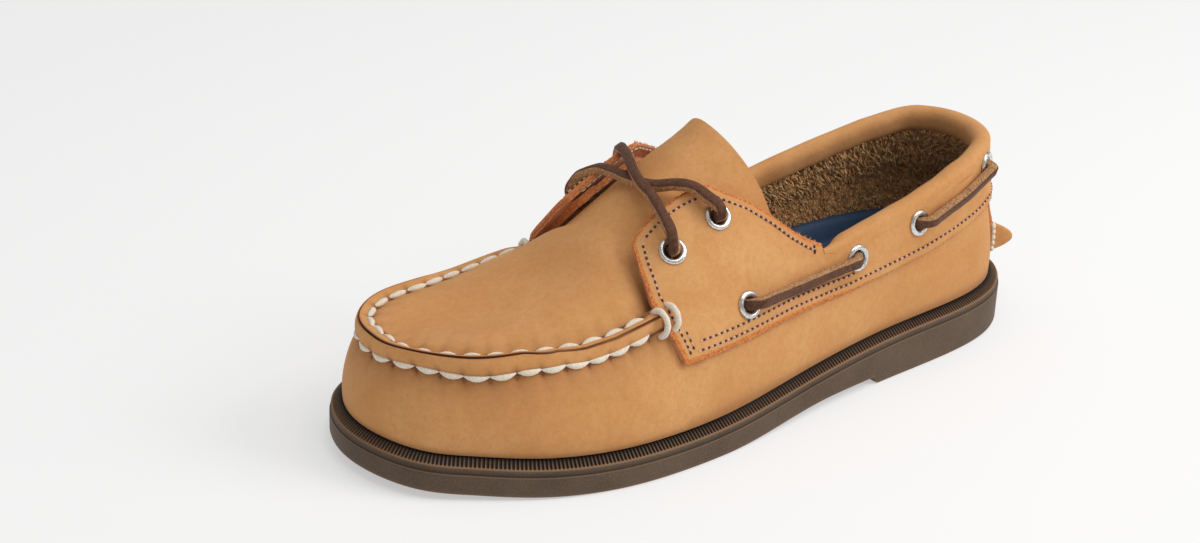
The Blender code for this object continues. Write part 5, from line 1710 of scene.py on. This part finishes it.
@dataclass
class Laces:
    """The square rawhide lace: its crossing over the tongue and its runs along the sides."""

    finishes: Finishes
    width: float = 0.0036
    rise: float = 0.0033
    depth: float = 0.0034
    corner: float = 0.16
    proud: float = 0.0012

    def bar(self, points: Grid, faced: Grid, count: int) -> Mesh:
        """A square bar with soft corners along a path; faced tells which way its smooth face looks."""
        path = through(points, count)
        look = unit(through(faced, count))
        run = unit(np.gradient(path, axis=0))
        across = unit(np.cross(run, look))
        over = np.cross(across, run)
        half = self.width / 2.0
        soft = 1.0 - self.corner * 2.0
        corners = [(1.0, soft), (soft, 1.0), (-soft, 1.0), (-1.0, soft), (-1.0, -soft), (-soft, -1.0),
                   (soft, -1.0), (1.0, -soft)]
        length = run_length(path)
        rough = 1.0 + 0.05 * np.sin(length / 0.0017 + np.sin(length / 0.0043))
        rings = [path + (across * (a * rough)[:, None] + over * b) * half
                 for a, b in ((np.full(count, a), b) for a, b in corners)]
        kinds = np.array([0, 0, 0, 1, 1, 1, 1, 1])
        return tube(np.stack(rings, axis=1), kinds)

    def bore(self, name: str, side: int) -> tuple[Grid, Grid]:
        """Points that lead out of an eyelet, and its axis."""
        centre, normal, _ = LAST.eyelet(next(row for row in EYELETS if row.name == name), side)
        return np.array([centre + normal * lift for lift in (-self.depth, 0.0, self.rise)]), normal

    def strand(self, first: str, places: Sequence[LacePoint], last: str) -> Mesh:
        """One strand of the crossing."""
        start, start_axis = self.bore(first, -1)
        end, end_axis = self.bore(last, 1)
        middle = np.array([(LAST.along_x(row.along), row.across * BALL, row.height * INSTEP_HIGH)
                           for row in places])
        points = np.concatenate([start, middle + LAST.shift, end[::-1]])
        blend = smooth(np.linspace(0.0, 1.0, len(points)), 0.1, 0.9)[:, None]
        faced = start_axis * (1.0 - blend) + end_axis * blend
        toe = np.array([-1.0, 0.0, 0.0])
        faced[:3] += toe
        faced[-3:] += toe
        return self.bar(points, faced, 110)

    def build_crossing(self) -> None:
        """Builds both strands over the tongue."""
        for name, first, places, last in (("lace_over", "front_low", OVER_STRAND, "front_high"),
                                          ("lace_under", "front_high", UNDER_STRAND, "front_low")):
            piece = dress(name, self.strand(first, places, last), self.finishes.lace)
            settle(piece, "rawhide_lace", "lace_crossing")

    def build_run(self, side: int, first: str, last: str, name: str, node: str) -> None:
        """Builds a run along the side, which comes out of one eyelet and dives into the next."""
        places = [next(row for row in EYELETS if row.name == key) for key in (first, last)]
        start, start_axis = self.bore(first, side)
        end, end_axis = self.bore(last, side)
        share = np.array([0.06, 0.14, 0.3, 0.5, 0.7, 0.86, 0.94])
        u = np.interp(share, (0.0, 1.0), [LAST.station(row.along, side) for row in places])
        height = np.interp(share, (0.0, 1.0), [row.height * row.measure for row in places])
        height = height - 0.0010 * np.sin(np.pi * share)
        w = LAST.up_at_height(u, height)
        bulge = self.proud * (1.0 - smooth(np.minimum(share, 1.0 - share), 0.06, 0.25))
        lift = SIZE.face + self.width / 2.0 + 0.0003 + bulge
        middle, axes, up = LAST.frame(u, w)
        points = np.concatenate([start[:2], middle + axes * lift[:, None], end[1::-1]])
        axes = unit(axes - 0.42 * up)
        run = unit(middle[-1] - middle[0])
        faced = np.concatenate([[start_axis - run] * 2, axes, [end_axis + run] * 2])
        settle(dress(name, self.bar(points, faced, 90), self.finishes.lace), "rawhide_lace", node)

    def build(self) -> None:
        """Builds the whole lace."""
        self.build_crossing()
        for side, word in SIDES:
            self.build_run(side, "side_1", "side_2", f"lace_run_{word}_front", f"lace_{word}_front")
            self.build_run(side, "side_3", "side_4", f"lace_run_{word}_back", f"lace_{word}_back")


@dataclass
class Eyelets:
    """Twelve rolled metal eyelets."""

    finishes: Finishes
    outer: float = 0.0100

    def build(self) -> Piece:
        """Sets one turned ring at all eyelets' places."""
        rows = [LAST.eyelet(place, side) for side, _ in SIDES for place in EYELETS]
        centre, normal, up = [np.array(column) for column in zip(*rows)]
        side = unit(np.cross(up, normal))
        places = Places(centre + normal * 0.0002, side, normal, np.ones(len(rows)))
        ring = Scatter("eyelet_rings", Shape.EYELET, self.outer, self.outer, self.outer, self.finishes.nickel)
        nodes = [f"eyelet_{word}_{place.name}" for _, word in SIDES for place in EYELETS]
        return settle(ring.place(places), "silver_eyelet", *nodes)


@dataclass
class Sewing:
    """All threads: the gathered seam with its ties, and the lockstitched rows."""

    finishes: Finishes
    overlays: Overlays
    fin: HeelFin
    pitch: float = 0.0026
    fine_pitch: float = 0.0022
    top_start: float = 0.4345
    band_inset: float = 0.0032
    second_inset: float = 0.0062
    top_inset: float = 0.0034
    tie_along: float = 0.6805
    tie_half: float = 0.0042
    tie_high: float = 0.0040
    tie_down: float = 0.0012
    tie_thick: float = 0.00115

    def row(self, side: int, first: float, last: float, share: float, inset: float) -> tuple:
        """A line on the overlay between two shares of the length, inset from its lower or upper edge."""
        u = LAST.even(LAST.station(first, side), LAST.station(last, side), 0.001)
        return self.overlays.face(side, u, share, SIZE.face, inset)[:2]

    def front_row(self, side: int, inset: float, low: float, high: float) -> tuple:
        """A line down the front edge of the eyestay."""
        share = np.linspace(low, high, 30)
        _, normal, _ = self.overlays.face(side, LAST.station(SIZE.front_edge, side), share, SIZE.face)
        behind = LAST.station(SIZE.front_edge - inset / SIZE.length, side)
        point, _, _ = self.overlays.face(side, behind, share, SIZE.face)
        return point, normal

    def rear_arm(self, side: int) -> tuple:
        """The short arm that closes the eyestay's top row at its rear end."""
        u = np.full(8, LAST.station(self.top_start, side))
        return self.overlays.face(side, u, 1.0, SIZE.face, np.linspace(0.0040, 0.0002, 8))[:2]

    def lockstitches(self) -> None:
        """Rows along band and eyestay, with dark blobs of painted shade at the needle holes between the
        stitches.
        """
        beige, dark, holes = [], [], []
        for side, _ in SIDES:
            rows = [self.row(side, 0.030, 0.653, 0.0, self.band_inset),
                    self.row(side, 0.372, 0.647, 0.0, self.second_inset),
                    self.front_row(side, 0.0056, 0.09, 0.24)]
            for line in rows:
                beige.append(along_path(*line, self.pitch))
                holes.append(along_path(*line, self.pitch, 0.0))
            for line in (self.row(side, self.top_start, 0.6625, 1.0, self.top_inset),
                         self.front_row(side, self.top_inset, 0.07, 0.915), self.rear_arm(side)):
                dark.append(along_path(*line, self.fine_pitch, 0.0))
                beige.append(along_path(*line, self.fine_pitch))
        self.sew("band_stitches", beige, self.pitch * 0.66, 0.00085, 0.0007, self.finishes.beige,
                 "cream_thread")
        # Painted shade: dark blobs at the needle holes between the beige stitches, on the band rows and the
        # eyestay's top rows.
        self.sew("needle_holes", holes, 0.0014, 0.00095, 0.0009, self.finishes.hole, "dark_thread")
        self.sew("eyestay_hole_shade", dark, 0.0016, 0.00095, 0.0009, self.finishes.hole, "dark_thread")

    def sew(self, name: str, rows: Sequence[Places], length: float, width: float, height: float,
            finish: Finish, slot: str) -> None:
        """Sets plain stitches at rows of places."""
        stitch = Scatter(name, Shape.STITCH, length, width, height, finish)
        settle(stitch.place(Places.joined(rows)), slot)

    def far_row(self) -> None:
        """The cream row on the inner face of the far eyestay."""
        u = LAST.even(LAST.station(0.47, 1), LAST.station(0.655, 1), 0.001)
        point, normal, _ = self.overlays.face(1, u, 0.97, -0.0003)
        self.sew("far_eyestay_row", [along_path(point, -normal, self.pitch)], 0.0022, 0.0008, 0.0006,
                 self.finishes.cream, "cream_thread")

    def vamp_seam(self) -> None:
        """The double row where the vamp laps the inner quarter."""
        rows = []
        for along in (0.6335, 0.6405):
            u = np.full(40, LAST.station(along, 1))
            top = float(LAST.table_up(LOW_EDGE, u[:1])[0]) * 0.97
            w = np.linspace(0.06, top, 40)
            point, normal, _ = LAST.frame(u, w)
            rows.append(along_path(point + normal * 0.0006, normal, self.pitch))
        self.sew("vamp_seam_stitches", rows, 0.0022, 0.0008, 0.0006, self.finishes.beige, "cream_thread")

    def loop(self, side: int, back: float) -> Mesh:
        """A ring of thick thread over the ridge's end, some way back from the eyestay's front edge."""
        turn = np.linspace(-0.25, math.pi + 0.25, 26)
        along = self.tie_along - (back + self.tie_down * np.sin(turn)) / SIZE.length
        u = LAST.station(along, side)
        middle = LAST.seam_up(u)
        w = middle + LAST.step_up(u, middle, self.tie_half * np.cos(turn) - self.tie_down)
        point, normal, _ = LAST.frame(u, w)
        path = point + normal * (self.tie_down + self.tie_high * np.sin(turn))[:, None]
        run = unit(np.gradient(path, axis=0))
        across = unit(LAST.frame(u + 0.001, w)[0] - LAST.frame(u - 0.001, w)[0])
        over = unit(np.cross(run, across))
        angles = np.linspace(0.0, 2.0 * math.pi, 9)[:-1]
        thick = self.tie_thick * (1.0 + 0.05 * np.sin(turn * 9.0))[:, None]
        rings = [path + (across * math.cos(angle) + over * math.sin(angle)) * thick for angle in angles]
        return tube(np.stack(rings, axis=1))

    def gathered(self) -> None:
        """The thick thread of the moccasin seam, its ties at the eyestays and the fin's stitches."""
        thick = Scatter("moccasin_stitches", Shape.LENS, SEAM.stitch_pitch * 1.2, 0.0023, 0.0021,
                        self.finishes.cream)
        settle(thick.place(SEAM.stitches()), "cream_thread")
        loops = [self.loop(side, back) for side, _ in SIDES for back in (0.0002, 0.0046)]
        points = np.concatenate([mesh.vertices for mesh in loops])
        size = len(loops[0].vertices)
        faces = np.concatenate([mesh.faces + n * size for n, mesh in enumerate(loops)])
        rings = Mesh(points, faces, np.zeros(len(faces), dtype=int))
        settle(dress("eyestay_ties", rings, (self.finishes.cream,)), "cream_thread")
        fin = Scatter("fin_stitches", Shape.LENS, 0.0034, 0.0021, 0.0018, self.finishes.cream)
        settle(fin.place(self.fin.stitches()), "cream_thread")

    def build(self) -> None:
        """Sews everything."""
        self.gathered()
        self.lockstitches()
        self.far_row()
        self.vamp_seam()


@dataclass
class Fibres:
    """The shaggy lining inside the opening and the fuzz of raw edges."""

    finishes: Finishes
    overlays: Overlays
    density: float = 1.5e6
    below_roll: float = 0.8 * SIZE.collar_drop
    front: float = 0.53
    foot: float = 0.030
    tall: float = 0.033
    seed: int = 11

    def lining(self) -> None:
        """Sets tufts on the inner face of the wall, from the footbed up to the collar."""
        random = np.random.default_rng(self.seed)
        pieces = []
        for side, _ in SIDES:
            heel = 0.0 if side < 0 else LAST.turn
            front = LAST.station(self.front, side)
            reach = abs(LAST.along_x(self.front) - LAST.along_x(0.0))
            count = int(self.density * reach * self.tall)
            u = heel + (front - heel) * random.random(count)
            top = LAST.top_up(u)
            top = top + LAST.step_up(u, top, -self.below_roll)
            low = LAST.up_at_height(u, self.foot)
            share = random.random(count)
            upper = smooth(share, 0.45, 0.72)
            w = low + (top - low) * share
            point, normal, up = LAST.frame(u, w)
            root = point - normal * (SIZE.leather + 0.0002)
            way = unit(-normal * 0.75 - up * 0.55 + 0.35 * random.normal(size=(count, 3)))
            grow = (0.55 + 0.6 * random.random(count)) * (0.75 + 0.65 * upper)
            pieces.append(Places(root, unit(np.cross(way, up)), way, grow))
        tuft = Scatter("lining_tufts", Shape.TUFT, 0.0009, 0.0007, 0.0026, self.finishes.tuft, 0.4)
        settle(tuft.place(Places.joined(pieces)), "brown_lining")

    def edges(self) -> None:
        """Sets short fuzz along the raw edges of the eyestays."""
        random = np.random.default_rng(self.seed + 1)
        lines = []
        for side, _ in SIDES:
            for first, last, share in ((0.030, 0.655, 0.0), (0.43, 0.660, 1.0)):
                u = LAST.even(LAST.station(first, side), LAST.station(last, side), 0.0005)
                for lift in (0.0006, 0.0014):
                    point, normal, up = self.overlays.face(side, u, share, lift)
                    lines.append((point, normal, up * (1.0 if share > 0.5 else -1.0)))
            share = np.linspace(0.0, 1.0, 90)
            point, normal, up = self.overlays.face(side, LAST.station(SIZE.front_edge, side), share, 0.0012)
            lines.append((point, normal, unit(np.cross(normal, up)) * side))
        point, normal, out = [np.concatenate(column) for column in zip(*lines)]
        shake = 0.5 * random.normal(size=point.shape)
        way = unit(out + 0.25 * normal + shake)
        grow = 0.5 + random.random(len(point))
        places = Places(point - out * 0.0003, unit(np.cross(way, normal)), way, grow)
        fuzz = Scatter("edge_fuzz", Shape.TUFT, 0.00045, 0.0004, 0.0011, self.finishes.fluff, 0.3)
        settle(fuzz.place(places), "tan_nubuck")

    def build(self) -> None:
        """Sets all fibres."""
        self.lining()
        self.edges()


@dataclass
class Studio:
    """Pale floor, soft light and the camera."""

    eye: tuple = (-0.4806, -0.5678, 0.3617)
    aim: tuple = (-0.0208, 0.0419, 0.0300)
    lens: float = 67.1
    roll: float = 2.46
    glow: float = 0.46
    sky: float = 0.42

    @staticmethod
    def looking(place: tuple, aim: tuple) -> Matrix:
        """The placing of what stands at a place and looks at an aim."""
        turn = (Vector(aim) - Vector(place)).to_track_quat("-Z", "Y").to_matrix().to_4x4()
        return Matrix.Translation(place) @ turn

    def camera(self) -> None:
        """Sets the camera at the photograph's angle."""
        view = bpy.data.cameras.new("camera")
        view.lens = self.lens
        view.sensor_width = 36.0
        view.clip_start = 0.01
        held = placed("camera", view)
        held.matrix_world = self.looking(self.eye, self.aim) @ Matrix.Rotation(math.radians(self.roll), 4, "Z")
        bpy.context.scene.camera = held

    def lamp(self, name: str, place: tuple, size: float, power: float, color: Color) -> None:
        """Hangs a soft square lamp that looks at the shoe."""
        light = bpy.data.lights.new(name, "AREA")
        light.size = size
        light.energy = power
        light.color = color
        placed(name, light).matrix_world = self.looking(place, (0.0, 0.0, 0.03))

    def floor(self) -> None:
        """Lays the pale floor."""
        mesh = bpy.data.meshes.new("floor")
        reach = 6.0
        corners = [(-reach, -reach, 0.0), (reach, -reach, 0.0), (reach, reach, 0.0), (-reach, reach, 0.0)]
        mesh.from_pydata(corners, [], [(0, 1, 2, 3)])
        g = Graph("pale_floor")
        finish = g.finish((0.50, 0.50, 0.50, 1.0), 0.9, None, Specular_IOR_Level=0.0,
                          Emission_Strength=self.glow)
        g.shader.inputs["Emission Color"].default_value = (1.0, 1.0, 1.0, 1.0)
        mesh.materials.append(finish)
        placed("floor", mesh)

    def build(self) -> None:
        """Sets floor, light and camera."""
        self.floor()
        self.camera()
        world = bpy.data.worlds.new("studio")
        world.use_nodes = True
        back = world.node_tree.nodes["Background"]
        back.inputs["Color"].default_value = (1.0, 1.0, 1.0, 1.0)
        back.inputs["Strength"].default_value = self.sky
        bpy.context.scene.world = world
        self.lamp("key", (0.9, -0.9, 1.0), 0.8, 11.0, (1.0, 0.99, 0.97))
        self.lamp("top", (0.15, -0.35, 1.5), 1.2, 8.5, (1.0, 1.0, 1.0))
        bpy.context.scene.view_settings.view_transform = "Standard"


def main() -> None:
    """Builds the shoe piece by piece and dresses it."""
    logging.basicConfig(level=logging.INFO, format="%(message)s")
    Studio().build()
    finishes = Finishes()
    Sole(finishes).build()
    Upper(finishes).build()
    Plug(finishes).build()
    SEAM.build(finishes)
    overlays = Overlays(finishes)
    for side, word in SIDES:
        overlays.build_band(side, word)
    overlays.build_collar()
    overlays.build_stay()
    fin = HeelFin(finishes)
    fin.build()
    Insole(finishes).build()
    Eyelets(finishes).build()
    Laces(finishes).build()
    Sewing(finishes, overlays, fin).build()
    Fibres(finishes, overlays).build()


if __name__ == "__main__":
    main()
